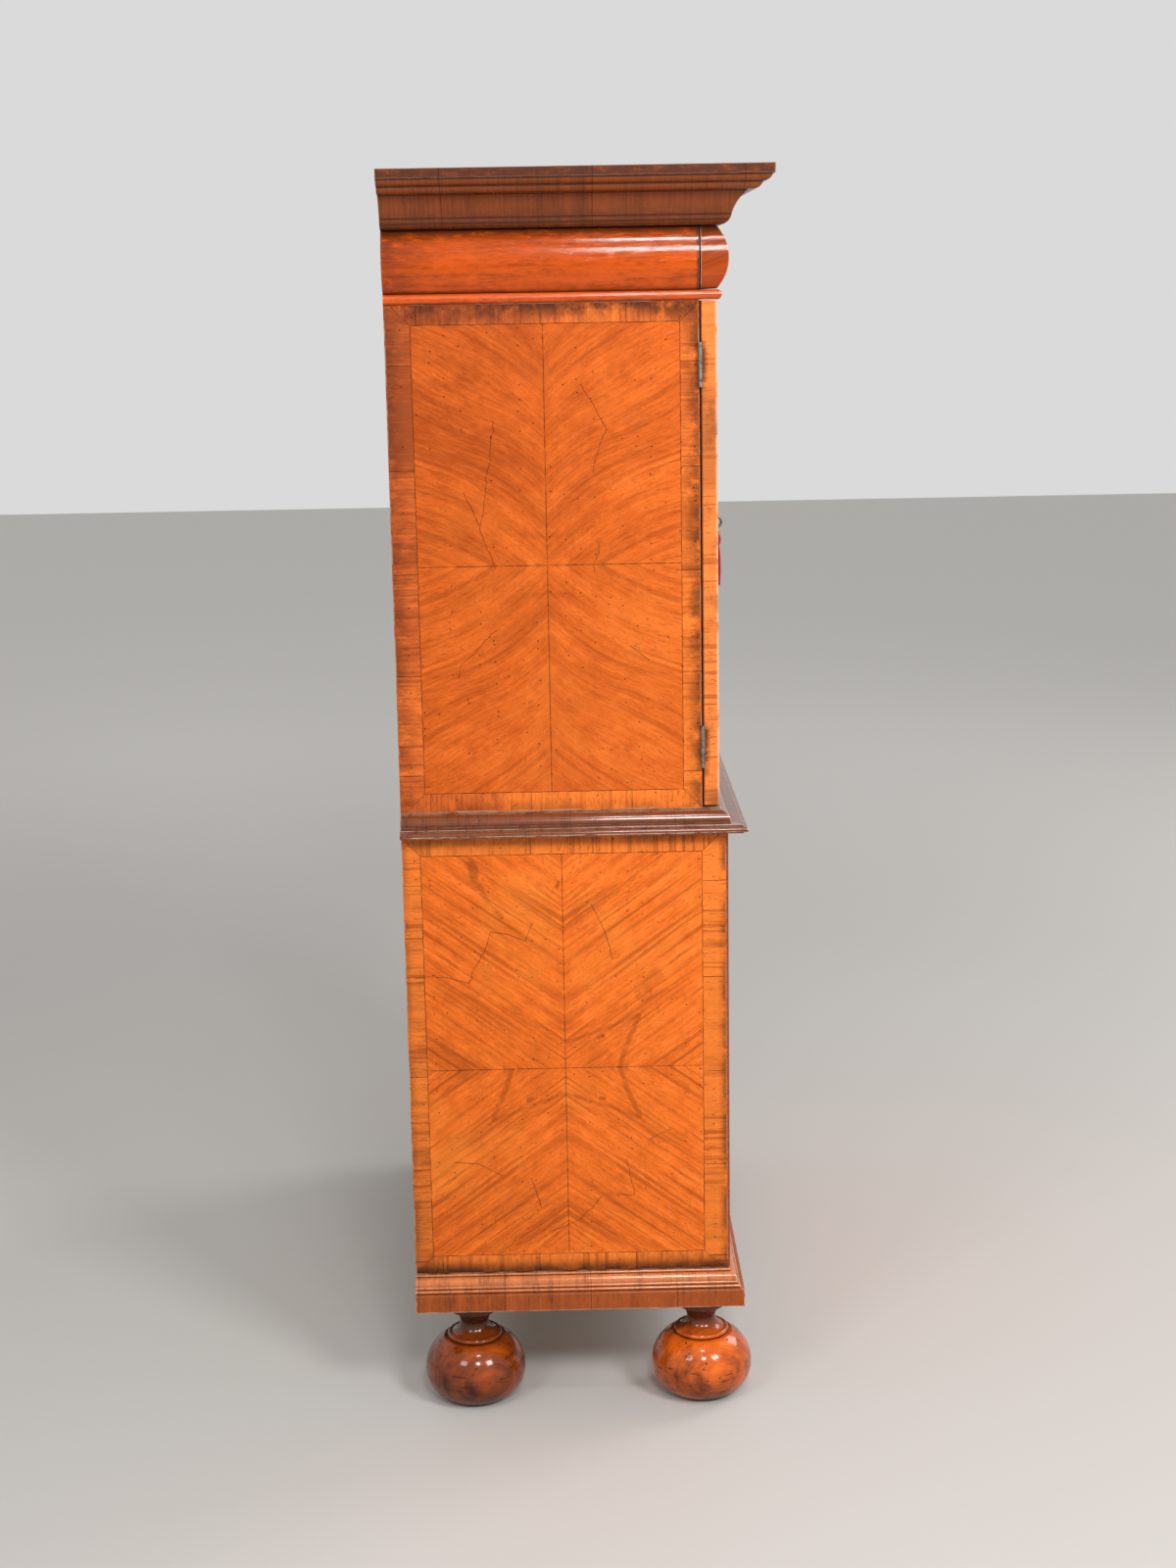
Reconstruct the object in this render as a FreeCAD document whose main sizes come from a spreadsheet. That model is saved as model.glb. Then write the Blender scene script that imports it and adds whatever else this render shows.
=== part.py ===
import FreeCAD, Part
import os
import re

import Sketcher

# A walnut cabinet on a chest: two overlay doors and a cushion frieze drawer above,
# two short and two long drawers below, on turned bun feet.
# Millimetres, +Z up, the front looks along -Y, the origin is on the floor under the middle.

SIZES = {
    # carcases
    "chest_width": 940,
    "chest_depth": 436,
    "chest_reveal": 629,
    "cabinet_reveal": 667,
    "upper_inset": 8,
    "side_board": 20,
    "board": 18,
    "back_board": 10,
    # turned feet
    "foot_height": 149,
    "foot_inset": 36,
    "back_foot_inset": 78,
    "foot_radius": 71,
    "ball_height": 89,
    "ball_middle": 43,
    "sole_radius": 42,
    "shoulder_radius": 44,
    "ring_radius": 38,
    "ring_height": 7,
    "ring_edge": 2,
    "neck_radius": 20,
    "neck_height": 13,
    "neck_hollow": 19.5,
    "flare_height": 22,
    "flare_hollow": 26.5,
    "pad_radius": 35,
    "spigot_radius": 12,
    "spigot_length": 22,
    "block_size": 75,
    # base moulding
    "band_height": 25,
    "band_out": 22,
    "band_seat": 20,
    "base_bead": 3.6,
    "bead_out": 2,
    "base_ovolo": 10.4,
    "ovolo_in": 4,
    "ovolo_out": 11,
    "ovolo_radius": 7.6,
    "reed": 4.5,
    "reed_start": 0.5,
    "reed_step": 3.5,
    "edge_round": 2,
    # waist moulding
    "waist_height": 30,
    "waist_out": 28,
    "waist_lap": 2.5,
    "waist_ovolo": 12,
    "waist_nose": 6,
    "waist_fillet": 3,
    # astragal, frieze and cornice
    "astragal_height": 12.5,
    "astragal_out": 6,
    "frieze_height": 80.5,
    "frieze_swell": 15,
    "frieze_clear": 1,
    "cornice_height": 72,
    "cornice_out": 69,
    "cornice_fascia": 12,
    "cornice_step": 2.5,
    "cornice_ovolo": 9,
    "cornice_hollow": 20,
    "hollow_radius": 60,
    "cornice_bead": 13,
    "cornice_foot": 5,
    "cornice_wall": 20,
    # doors and shelves
    "door_thick": 21,
    "door_gap": 2,
    "door_clear": 1.5,
    "door_foot": 3,
    "meeting_gap": 2,
    "shelf_setback": 30,
    "shelf_groove": 6,
    "low_shelf": 220,
    "high_shelf": 450,
    # hinges
    "hinge_height": 57,
    "hinge_end": 52,
    "leaf_width": 16,
    "leaf_thick": 2,
    "knuckle_radius": 3,
    "knuckle_out": 3.6,
    "knuckle_gap": 0.4,
    "pin_radius": 1.3,
    "pin_play": 0.1,
    # lock, key and bolts
    "lock_width": 70,
    "lock_height": 64,
    "lock_depth": 16,
    "lock_edge": 3,
    "lock_wall": 2,
    "key_inset": 40,
    "key_rise": 331,
    "key_radius": 2.5,
    "key_hole_radius": 5,
    "bow_reach": 32,
    "bow_radius": 9,
    "bow_wire": 2,
    "bit_length": 9,
    "bit_width": 7,
    "bit_thick": 2.4,
    "bit_gap": 1,
    "bit_play": 0.6,
    "bolt_length": 44,
    "bolt_height": 9,
    "bolt_thick": 5,
    "bolt_rise": 13,
    "bolt_play": 0.4,
    "rod_radius": 3.5,
    "rod_length": 90,
    "rod_inset": 14,
    "rod_hole": 4.5,
    "knob_radius": 2.8,
    "knob_reach": 12.2,
    "keep_width": 20,
    "keep_length": 70,
    "keep_inset": 10,
    "rod_rest": 3.5,
    "guide_end": 3,
    "guide_thick": 8,
    "guide_width": 14,
    "keep_plate": 2,
    "guide_height": 10,
    "plate_thick": 1.6,
    # key tassel
    "loop_wire": 1,
    "loop_length": 14,
    "loop_play": 0.3,
    "tassel_head": 15.4,
    "head_round": 7.8,
    "head_top": 2.1,
    "tie_radius": 4.3,
    "tie_height": 1.5,
    "tassel_skirt": 9.5,
    "skirt_waist": 8.7,
    "skirt_turn": 29,
    "tassel_length": 82,
    # drawers
    "tier_low": 216,
    "tier_mid": 190,
    "rail": 18,
    "rail_depth": 70,
    "runner_width": 40,
    "bottom_lift": 3,
    "drawer_front": 20,
    "drawer_wall": 10,
    "drawer_bottom": 8,
    "drawer_clear": 1.5,
    "drawer_run_gap": 0.4,
    "side_play": 3,
    "wall_drop": 14,
    "back_gap": 12,
    "bead": 3.5,
    # drop handles
    "handle_radius": 19,
    "handle_place": 0.25,
    "handle_rise": 12,
    "ear_width": 2.5,
    "ear_height": 8,
    "ear_play": 0.3,
    "drop_width": 5,
    "drop_stand": 7,
    "drop_eye": 3,
    "drop_pin": 1.2,
    "drop_length": 34,
    "drop_bob": 6.4,
    "neck_foot": 6,
    "neck_tip": 1.8,
    "neck_rise": 8.6,
    "scutcheon_width": 24,
    "scutcheon_height": 34,
    "scutcheon_drop": 32,
    # rounds of the mouldings, as shares of their height, and the spare length of cutters
    "half_round": 0.52,
    "quarter_round": 1.1,
    "flat_round": 1.3,
    "overrun": 1,
}

# Places worked out from the sizes above.
PLACES = {
    "half": "chest_width / 2",
    "back": "(chest_depth - upper_inset + cornice_out) / 2",
    "front": "back - chest_depth",
    "upper_half": "half - upper_inset",
    "face": "front + upper_inset",
    "door_back": "face + door_thick",
    "upper_front": "door_back + door_gap",
    "band_top": "foot_height + band_height",
    "base_top": "band_top + base_bead + base_ovolo + 2 * reed",
    "drawer_floor": "base_top + bottom_lift",
    "chest_top": "base_top + chest_reveal",
    "waist_top": "chest_top + waist_height",
    "lintel": "waist_top + cabinet_reveal",
    "frieze_foot": "lintel + astragal_height",
    "cornice_low": "frieze_foot + frieze_height",
    "cornice_high": "cornice_low + cornice_height",
    "door_low": "waist_top + door_foot",
    "door_high": "lintel - door_clear",
    "key_height": "door_low + key_rise",
    "key_line": "meeting_gap / 2 + key_inset",
    "bow_middle": "face - bow_reach",
    "inner_half": "half - side_board",
    "upper_inner": "upper_half - side_board",
    "rail_one": "drawer_floor + tier_low",
    "rail_two": "rail_one + rail + tier_mid",
    "chest_ceiling": "chest_top - board",
    "back_wall": "back - back_board",
    "hinge_x": "upper_half + knuckle_out",
    "hinge_y": "door_back + door_gap / 2",
    "rod_y": "door_back + keep_plate + guide_height / 2",
}

FRONT_WAYS = {"left": -1, "right": 1}
BASE_REEDS = 2

doc = FreeCAD.newDocument("cabinet")
sheet = doc.addObject("Spreadsheet::Sheet", "sizes")
for row, (alias, value) in enumerate(SIZES.items(), start=1):
    sheet.set("A%d" % row, alias)
    sheet.set("B%d" % row, str(value))
    sheet.setAlias("B%d" % row, alias)
doc.recompute()

nodes = []


def bound(text):
    """Write a text of size and place names as an expression on the sheet."""
    def swap(match):
        word = match.group(0)
        if word in PLACES:
            return "(" + bound(PLACES[word]) + ")"
        return "sizes." + word if word in SIZES else word
    return re.sub(r"[a-z_]+", swap, str(text))


def number(text):
    """The present value of such a text."""
    return float(sheet.evalExpression(bound(text)))


def bind(thing, prop, text):
    thing.setExpression(prop, bound(text))


def seat(thing, x, y, z, axis=(0, 0, 1), angle=0):
    """Turn a thing and bind its place."""
    turn = FreeCAD.Rotation(FreeCAD.Vector(*axis), angle)
    thing.Placement = FreeCAD.Placement(FreeCAD.Vector(number(x), number(y), number(z)), turn)
    for prop, text in (("x", x), ("y", y), ("z", z)):
        bind(thing, "Placement.Base." + prop, text)
    return thing


def node(thing, label):
    thing.Label = label
    nodes.append(thing)
    return thing


def box(name, x, y, z):
    """A board between pairs of limits along X, Y and Z."""
    thing = doc.addObject("Part::Box", name)
    for prop, (low, high) in (("Length", x), ("Width", y), ("Height", z)):
        bind(thing, prop, "(%s) - (%s)" % (high, low))
    return seat(thing, x[0], y[0], z[0])


def mirrored(low, high):
    return ("-(%s)" % high, "-(%s)" % low)


def sided(way, low, high):
    """Limits along X on the left (-1) or right (1) half."""
    return (low, high) if way > 0 else mirrored(low, high)


AXES = {"X": ((0, 1, 0), 90), "Y": ((1, 0, 0), -90), "Z": ((0, 0, 1), 0)}


def rod(name, axis, radius, length, x, y, z, sweep=None):
    """A round bar that starts at a point and runs along +X, +Y or +Z."""
    thing = doc.addObject("Part::Cylinder", name)
    bind(thing, "Radius", radius)
    bind(thing, "Height", length)
    if sweep:
        thing.Angle = sweep
    turn, angle = AXES[axis]
    return seat(thing, x, y, z, turn, angle)


def group(name, things):
    thing = doc.addObject("Part::Compound", name)
    thing.Links = things
    return thing


def joined(name, things):
    thing = doc.addObject("Part::MultiFuse", name)
    thing.Shapes = things
    return thing


def cut(name, base, tools):
    thing = doc.addObject("Part::Cut", name)
    thing.Base = base
    thing.Tool = tools[0] if len(tools) == 1 else group(name + "_tools", tools)
    return thing


def origin_plane(body, role):
    return [f for f in body.Origin.OriginFeatures if f.Role == role][0]


def section(body, name, plane, corners, offset="0"):
    """A closed outline of lines and arcs, every corner and radius bound to the sheet.

    A corner is (u, v), or (u, v, radius, side) where an arc leaves it: side 1 swells to the
    right of the way travelled, which is outward on an outline that runs anticlockwise.
    """
    sketch = body.newObject("Sketcher::SketchObject", name)
    sketch.AttachmentSupport = [(origin_plane(body, plane), "")]
    sketch.MapMode = "FlatFace"
    bind(sketch, "AttachmentOffset.Base.z", offset)
    points = [FreeCAD.Vector(number(c[0]), number(c[1]), 0) for c in corners]
    starts = []
    for i, corner in enumerate(corners):
        a = points[i]
        b = points[(i + 1) % len(points)]
        if len(corner) == 2:
            geo = sketch.addGeometry(Part.LineSegment(a, b))
        else:
            chord = b - a
            radius = number(corner[2])
            sag = radius - max(radius ** 2 - (chord.Length / 2) ** 2, 0) ** 0.5
            aside = FreeCAD.Vector(chord.y, -chord.x, 0).normalize() * sag * corner[3]
            geo = sketch.addGeometry(Part.ArcOfCircle(a, (a + b) * 0.5 + aside, b))
        first = 1 if (sketch.getPoint(geo, 1) - a).Length < 1e-6 else 2
        starts.append((geo, first))
    for i, corner in enumerate(corners):
        geo, first = starts[i]
        ahead, ahead_first = starts[(i + 1) % len(starts)]
        sketch.addConstraint(Sketcher.Constraint("Coincident", geo, 3 - first, ahead, ahead_first))
        for axis, value, text in (("X", points[i].x, corner[0]), ("Y", points[i].y, corner[1])):
            made = sketch.addConstraint(
                Sketcher.Constraint("Distance" + axis, -1, 1, geo, first, value))
            bind(sketch, "Constraints[%d]" % made, text)
        if len(corner) > 2:
            made = sketch.addConstraint(Sketcher.Constraint("Radius", geo, number(corner[2])))
            bind(sketch, "Constraints[%d]" % made, corner[2])
    return sketch


def run_of(name, corners, start, end, out, seat_depth, low, high, mitres=()):
    """A moulding of one section along X, square or mitred at each end.

    The section lies behind (+Y) and in front (-Y) of the face it is fixed to.
    """
    body = doc.addObject("PartDesign::Body", name)
    pad = body.newObject("PartDesign::Pad", name + "_run")
    pad.Profile = section(body, name + "_section", "YZ_Plane", corners, start)
    bind(pad, "Length", "(%s) - (%s)" % (end, start))
    for which in mitres:
        tip, way = (start, -1) if which == "start" else (end, 1)
        corner = "(%s) - (%d) * (%s)" % (tip, way, out)
        deep = "(%s) + overrun" % seat_depth
        far = "(%s) + overrun" % out
        outline = [("%s - (%d) * (%s)" % (corner, way, deep), deep),
                   ("%s + (%d) * (%s)" % (corner, way, far), "-(%s)" % far),
                   ("%s + (%d) * (%s)" % (corner, way, far), deep)]
        pocket = body.newObject("PartDesign::Pocket", name + "_mitre_" + which)
        pocket.Profile = section(body, name + "_mitre_line_" + which, "XY_Plane", outline,
                                 "(%s) + overrun" % high)
        bind(pocket, "Length", "(%s) - (%s) + 2 * overrun" % (high, low))
    return body


def front_and_returns(stem, corners, half, face, out, seat_depth, low, high):
    """A mitred moulding across the front and back along both sides."""
    front = run_of(stem + "_front", corners, "-(%s) - (%s)" % (half, out), "(%s) + (%s)" % (half, out),
                   out, seat_depth, low, high, ("start", "end"))
    node(seat(front, "0", face, "0"), stem + "_front")
    length = "back - (%s)" % face
    left = run_of(stem + "_left", corners, "-(%s)" % length, out, out, seat_depth, low, high, ("end",))
    seat(left, "-(%s)" % half, face, "0", angle=-90)
    right = run_of(stem + "_right", corners, "-(%s)" % out, length, out, seat_depth, low, high, ("start",))
    seat(right, half, face, "0", angle=90)
    node(group(stem + "_returns", [left, right]), stem + "_returns")


def bun_foot(label, x, y):
    """A flattened ball, a ring, a hollowed neck and a pad with a spigot, turned in one piece."""
    ring_low = "ball_height"
    ring_high = "ball_height + ring_height"
    neck = "ball_height + ring_height + neck_height"
    flare = "ball_height + ring_height + neck_height + flare_height"
    low_arc = "((foot_radius - sole_radius)^2 + ball_middle^2) / (2 * (foot_radius - sole_radius))"
    high_arc = ("((foot_radius - shoulder_radius)^2 + (ball_height - ball_middle)^2)"
                " / (2 * (foot_radius - shoulder_radius))")
    outline = [("0", "0"),
               ("sole_radius", "0", low_arc, 1),
               ("foot_radius", "ball_middle", high_arc, 1),
               ("shoulder_radius", "ball_height"),
               ("ring_radius - ring_edge", ring_low, "ring_height * half_round", 1),
               ("ring_radius - ring_edge", ring_high),
               ("ring_radius - 3 * ring_edge", ring_high, "neck_hollow", -1),
               ("neck_radius", neck, "flare_hollow", -1),
               ("pad_radius - ring_edge", flare),
               ("pad_radius", flare),
               ("pad_radius", "foot_height"),
               ("spigot_radius", "foot_height"),
               ("spigot_radius", "foot_height + spigot_length"),
               ("0", "foot_height + spigot_length")]
    body = doc.addObject("PartDesign::Body", label)
    turning = body.newObject("PartDesign::Revolution", label + "_turning")
    sketch = section(body, label + "_outline", "XZ_Plane", outline)
    turning.Profile = sketch
    turning.ReferenceAxis = (sketch, ["V_Axis"])
    turning.Angle = 360
    node(seat(body, x, y, "0"), label)


def feet_and_base():
    blocks = []
    for side, way in FRONT_WAYS.items():
        x = "%d * (half - foot_inset)" % way
        for end, y in (("front", "front + foot_inset"), ("back", "back - back_foot_inset")):
            bun_foot("foot_%s_%s" % (end, side), x, y)
            # each spigot enters a block that is glued inside the base
            reach = sided(way, "half - band_seat - block_size", "half - band_seat")
            if end == "front":
                deep = ("front + band_seat", "front + band_seat + block_size")
            else:
                deep = ("back - back_foot_inset - block_size / 2", "back - back_foot_inset + block_size / 2")
            block = box("block_%s_%s" % (end, side), reach, deep, ("foot_height", "drawer_floor - board"))
            hole = rod("hole_%s_%s" % (end, side), "Z", "spigot_radius", "spigot_length", x, y, "foot_height")
            blocks.append(cut("foot_block_%s_%s" % (end, side), block, [hole]))
    node(group("foot_blocks", blocks), "foot_blocks")
    # a bead and an ovolo, then two reeds that step outward, one below the other
    ovolo_high = "base_top - base_bead"
    ovolo_low = "band_top + %d * reed" % BASE_REEDS
    outline = [("band_seat", "foot_height"),
               ("band_seat", "band_top"),
               ("0", "band_top"),
               ("0", "base_top"),
               ("-bead_out", "base_top", "base_bead * half_round", 1),
               ("-bead_out", ovolo_high),
               ("-ovolo_in", ovolo_high, "ovolo_radius", 1),
               ("-ovolo_out", ovolo_low)]
    for count in range(BASE_REEDS):
        out = "-(ovolo_out + reed_start + %d * reed_step)" % count
        outline.append((out, "%s - %d * reed" % (ovolo_low, count), "reed * half_round", 1))
        outline.append((out, "%s - %d * reed" % (ovolo_low, count + 1)))
    outline += [("-(band_out - edge_round)", "band_top", "edge_round", 1),
                ("-band_out", "band_top - edge_round"),
                ("-band_out", "foot_height")]
    front_and_returns("base", outline, "half", "front", "band_out", "band_seat", "foot_height", "base_top")


def chest_carcase():
    across = ("-inner_half", "inner_half")
    inside = ("front", "back_wall")
    node(box("chest_bottom", across, inside, ("drawer_floor - board", "drawer_floor")), "chest_bottom")
    node(box("chest_lid", across, inside, ("chest_ceiling", "chest_top")), "chest_top")
    for side, way in FRONT_WAYS.items():
        wall = box("chest_wall_" + side, sided(way, "inner_half", "half"), ("front", "back"),
                   ("band_top", "chest_top"))
        node(wall, "chest_side_" + side)
    node(box("chest_back", across, ("back_wall", "back"), ("band_top", "chest_top")), "chest_back")


def drawer_frames():
    """Front rails, the post between the short drawers, and the runners behind them."""
    members = []
    rail_y = ("front", "front + rail_depth")
    runner_y = ("front + rail_depth", "back_wall")
    for tag, low in (("low", "rail_one"), ("high", "rail_two")):
        tall = (low, "%s + rail" % low)
        members.append(box("rail_" + tag, ("-inner_half", "inner_half"), rail_y, tall))
        for side, way in FRONT_WAYS.items():
            reach = sided(way, "inner_half - runner_width", "inner_half")
            members.append(box("runner_%s_%s" % (tag, side), reach, runner_y, tall))
    post_x = ("-rail / 2", "rail / 2")
    members.append(box("post", post_x, rail_y, ("rail_two + rail", "chest_ceiling")))
    members.append(box("guide", post_x, runner_y, ("rail_two + rail", "chest_ceiling - 2 * rail")))
    members.append(box("centre_runner", ("-runner_width", "runner_width"), runner_y,
                       ("rail_two", "rail_two + rail")))
    node(group("drawer_frames", members), "drawer_frames")


def opening_beads():
    """Pairs of half-round beads on the rails, the post and the edges of the sides."""
    members = []
    wide = "inner_half + side_board / 2 - 2 * bead"
    for tag, middle in (("low", "rail_one + rail / 2"), ("high", "rail_two + rail / 2"),
                        ("top", "chest_ceiling + board / 2")):
        for part, lift in (("under", "-bead"), ("over", "bead")):
            bead = rod("bead_%s_%s" % (tag, part), "X", "bead", "2 * (%s)" % wide,
                       "-(%s)" % wide, "front", "%s + %s" % (middle, lift), 180)
            turn = FreeCAD.Rotation(FreeCAD.Vector(0, 0, 1), FreeCAD.Vector(1, 0, 0))
            bead.Placement.Rotation = turn.multiply(FreeCAD.Rotation(FreeCAD.Vector(0, 0, 1), 180))
            members.append(bead)
    upright = [("left", "-(inner_half + side_board / 2)", "base_top", "chest_top"),
               ("right", "inner_half + side_board / 2", "base_top", "chest_top"),
               ("post", "0", "rail_two + rail / 2 + 2 * bead", "chest_ceiling + board / 2 - 2 * bead")]
    for tag, middle, low, high in upright:
        for part, aside in (("first", "-bead"), ("second", "bead")):
            bead = rod("bead_%s_%s" % (tag, part), "Z", "bead", "(%s) - (%s)" % (high, low),
                       "%s + %s" % (middle, aside), "front", low, 180)
            bead.Placement.Rotation = FreeCAD.Rotation(FreeCAD.Vector(0, 0, 1), 180)
            members.append(bead)
    node(group("opening_beads", members), "opening_beads")


def waist():
    """A top fillet, an ovolo, a fillet and a rounded nose, one below and beyond the other."""
    ovolo_high = "waist_top - waist_fillet"
    ovolo_low = "waist_top - waist_fillet - waist_ovolo"
    ovolo_out = "-(waist_ovolo - upper_inset + waist_lap)"
    step_out = "-(waist_out - waist_nose)"
    step_low = "chest_top + 2 * waist_nose - waist_fillet"
    outline = [("upper_inset", "chest_top"),
               ("upper_inset", "waist_top"),
               ("upper_inset - waist_lap", "waist_top"),
               ("upper_inset - waist_lap", ovolo_high, "waist_ovolo * quarter_round", 1),
               (ovolo_out, ovolo_low),
               (ovolo_out, "chest_top + 2 * waist_nose"),
               (step_out, "chest_top + 2 * waist_nose"),
               (step_out, step_low),
               ("-(waist_out - waist_fillet)", step_low, "waist_fillet * quarter_round", 1),
               ("-waist_out", "%s - waist_fillet" % step_low),
               ("-waist_out", "chest_top + waist_fillet", "waist_fillet * flat_round", -1),
               ("-(waist_out - waist_nose)", "chest_top")]
    front_and_returns("waist", outline, "half", "front", "waist_out", "upper_inset", "chest_top", "waist_top")


def shelf_zs(height):
    return ("waist_top + %s" % height, "waist_top + %s + board" % height)


def cabinet_carcase():
    across = ("-upper_inner", "upper_inner")
    under = box("cabinet_floor", across, ("upper_front", "back_wall"), ("chest_top", "waist_top"))
    lip = box("cabinet_lip", ("-upper_half", "upper_half"), ("face", "upper_front"),
              ("chest_top", "waist_top"))
    floor = joined("cabinet_floor_whole", [under, lip])
    low_hole = rod("low_rod_hole", "Z", "rod_hole", "waist_height", "-rod_inset", "rod_y", "chest_top")
    node(cut("cabinet_base", floor, [low_hole]), "cabinet_bottom")
    node(box("cabinet_lid", across, ("upper_front", "back_wall"), ("cornice_low", "cornice_low + board")),
         "cabinet_top")
    for side, way in FRONT_WAYS.items():
        wall = box("cabinet_wall_" + side, sided(way, "upper_inner", "upper_half"), ("upper_front", "back"),
                   ("chest_top", "cornice_low + board"))
        grooves = []
        for tag, height in (("low", "low_shelf"), ("high", "high_shelf")):
            grooves.append(box("groove_%s_%s" % (tag, side),
                               sided(way, "upper_inner", "upper_inner + shelf_groove"),
                               ("upper_front + shelf_setback", "back_wall"), shelf_zs(height)))
        for tag, low in hinge_levels():
            grooves.append(box("leaf_seat_%s_%s" % (tag, side),
                               sided(way, "upper_half - leaf_width", "upper_half"),
                               ("upper_front", "upper_front + leaf_thick"), (low, low + " + hinge_height")))
        node(cut("cabinet_side_cut_" + side, wall, grooves), "cabinet_side_" + side)
    node(box("cabinet_rear", across, ("back_wall", "back"), ("chest_top", "cornice_low + board")),
         "cabinet_back")
    shelf_x = ("-(upper_inner + shelf_groove)", "upper_inner + shelf_groove")
    shelves = [box("shelf_" + tag, shelf_x, ("upper_front + shelf_setback", "back_wall"), shelf_zs(height))
               for tag, height in (("low", "low_shelf"), ("high", "high_shelf"))]
    node(group("shelves", shelves), "shelves")


def frieze_and_cornice():
    board_in = box("lintel_inside", ("-upper_inner", "upper_inner"), ("upper_front", "back_wall"),
                   ("lintel", "frieze_foot"))
    board_out = box("lintel_outside", ("-upper_half", "upper_half"), ("face", "upper_front"),
                    ("lintel", "frieze_foot"))
    lintel = joined("lintel_board", [board_in, board_out])
    high_hole = rod("high_rod_hole", "Z", "rod_hole", "astragal_height", "-rod_inset", "rod_y", "lintel")
    node(cut("lintel_bored", lintel, [high_hole]), "frieze_floor")

    outline = [("0", "lintel"),
               ("0", "frieze_foot"),
               ("-astragal_out / 4", "frieze_foot", "astragal_height * half_round", 1),
               ("-astragal_out / 4", "lintel")]
    beads = []
    front = run_of("astragal_front", outline, "-upper_half - astragal_out", "upper_half + astragal_out",
                   "astragal_out", "0", "lintel", "frieze_foot", ("start", "end"))
    beads.append(seat(front, "0", "face", "0"))
    left = run_of("astragal_left", outline, "-(back - face)", "astragal_out", "astragal_out", "0",
                  "lintel", "frieze_foot", ("end",))
    beads.append(seat(left, "-upper_half", "face", "0", angle=-90))
    right = run_of("astragal_right", outline, "-astragal_out", "back - face", "astragal_out", "0",
                   "lintel", "frieze_foot", ("start",))
    beads.append(seat(right, "upper_half", "face", "0", angle=90))
    node(group("astragals", beads), "astragal")

    swell = "((frieze_height - 2 * frieze_clear)^2 / 4 + frieze_swell^2) / (2 * frieze_swell)"
    cushion = [("0", "frieze_foot"),
               ("0", "cornice_low"),
               ("-frieze_clear", "cornice_low - frieze_clear", swell, 1),
               ("-frieze_clear", "frieze_foot + frieze_clear")]
    depth = "back - upper_front"
    left = run_of("frieze_left", cushion, "-(%s)" % depth, "0", "0", "0", "frieze_foot", "cornice_low")
    seat(left, "-upper_half", "upper_front", "0", angle=-90)
    right = run_of("frieze_right", cushion, "0", depth, "0", "0", "frieze_foot", "cornice_low")
    seat(right, "upper_half", "upper_front", "0", angle=90)
    node(group("frieze_sides", [left, right]), "frieze_sides")

    fascia_low = "cornice_high - cornice_fascia"
    upper_low = "cornice_high - cornice_fascia - cornice_ovolo"
    lower_low = "cornice_high - cornice_fascia - 2 * cornice_ovolo"
    hollow_low = "cornice_low + cornice_bead"
    outline = [("cornice_wall", "cornice_low + board"),
               ("cornice_wall", "cornice_high"),
               ("-cornice_out", "cornice_high"),
               ("-cornice_out", fascia_low),
               ("-(cornice_out - cornice_step)", fascia_low, "cornice_ovolo * flat_round", 1),
               ("-(cornice_out - cornice_step - cornice_ovolo)", upper_low),
               ("-(cornice_out - 2 * cornice_step - cornice_ovolo)", upper_low,
                "cornice_ovolo * flat_round", 1),
               ("-(cornice_out - 2 * cornice_step - 2 * cornice_ovolo)", lower_low),
               ("-(cornice_foot + cornice_bead + cornice_hollow)", lower_low, "hollow_radius", -1),
               ("-(cornice_foot + cornice_bead)", hollow_low, "cornice_bead * quarter_round", 1),
               ("-cornice_foot", "cornice_low"),
               ("0", "cornice_low"),
               ("0", "cornice_low + board")]
    front_and_returns("cornice", outline, "upper_half", "face", "cornice_out", "cornice_wall",
                      "cornice_low", "cornice_high")


def hinge_levels():
    return (("low", "door_low + hinge_end"), ("high", "door_high - hinge_end - hinge_height"))


def knuckle(name, way, low, high, radius):
    return rod(name, "Z", radius, "(%s) - (%s)" % (high, low), "%d * (hinge_x)" % way, "hinge_y", low)


def hinge(tag, side, way, low):
    """One butt hinge: the leaf on the carcase with its pin, and the leaf on the door."""
    stem = "%s_%s" % (tag, side)
    third = "(hinge_height / 3)"
    top = "%s + hinge_height" % low
    mid_low = "%s + %s" % (low, third)
    mid_high = "%s + 2 * %s" % (low, third)
    plate_x = sided(way, "upper_half - leaf_width", "upper_half")
    tongue_x = sided(way, "upper_half", "hinge_x")
    case_y = ("upper_front", "upper_front + leaf_thick")
    door_y = ("door_back - leaf_thick", "door_back")
    fixed = [box("case_plate_" + stem, plate_x, case_y, (low, top)),
             box("case_tongue_low_" + stem, tongue_x, case_y, (low, mid_low)),
             box("case_tongue_high_" + stem, tongue_x, case_y, (mid_high, top)),
             knuckle("case_knuckle_low_" + stem, way, low, mid_low, "knuckle_radius"),
             knuckle("case_knuckle_high_" + stem, way, mid_high, top, "knuckle_radius"),
             knuckle("pin_" + stem, way, low, top, "pin_radius")]
    mid = (mid_low + " + knuckle_gap", mid_high + " - knuckle_gap")
    moving = joined("door_leaf_whole_" + stem,
                    [box("door_plate_" + stem, plate_x, door_y, (low, top)),
                     box("door_tongue_" + stem, tongue_x, door_y, mid),
                     knuckle("door_knuckle_" + stem, way, mid[0], mid[1], "knuckle_radius")])
    bore = knuckle("door_bore_" + stem, way, low, top, "pin_radius + pin_play")
    return joined("case_leaf_" + stem, fixed), cut("door_leaf_" + stem, moving, [bore])


def hinges():
    fixed = []
    for side, way in FRONT_WAYS.items():
        moving = []
        for tag, low in hinge_levels():
            still, swinging = hinge(tag, side, way, low)
            fixed.append(still)
            moving.append(swinging)
        node(group("door_leaves_" + side, moving), "hinge_leaves_" + side)
    node(group("case_leaves", fixed), "hinge_leaves_fixed")


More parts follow.
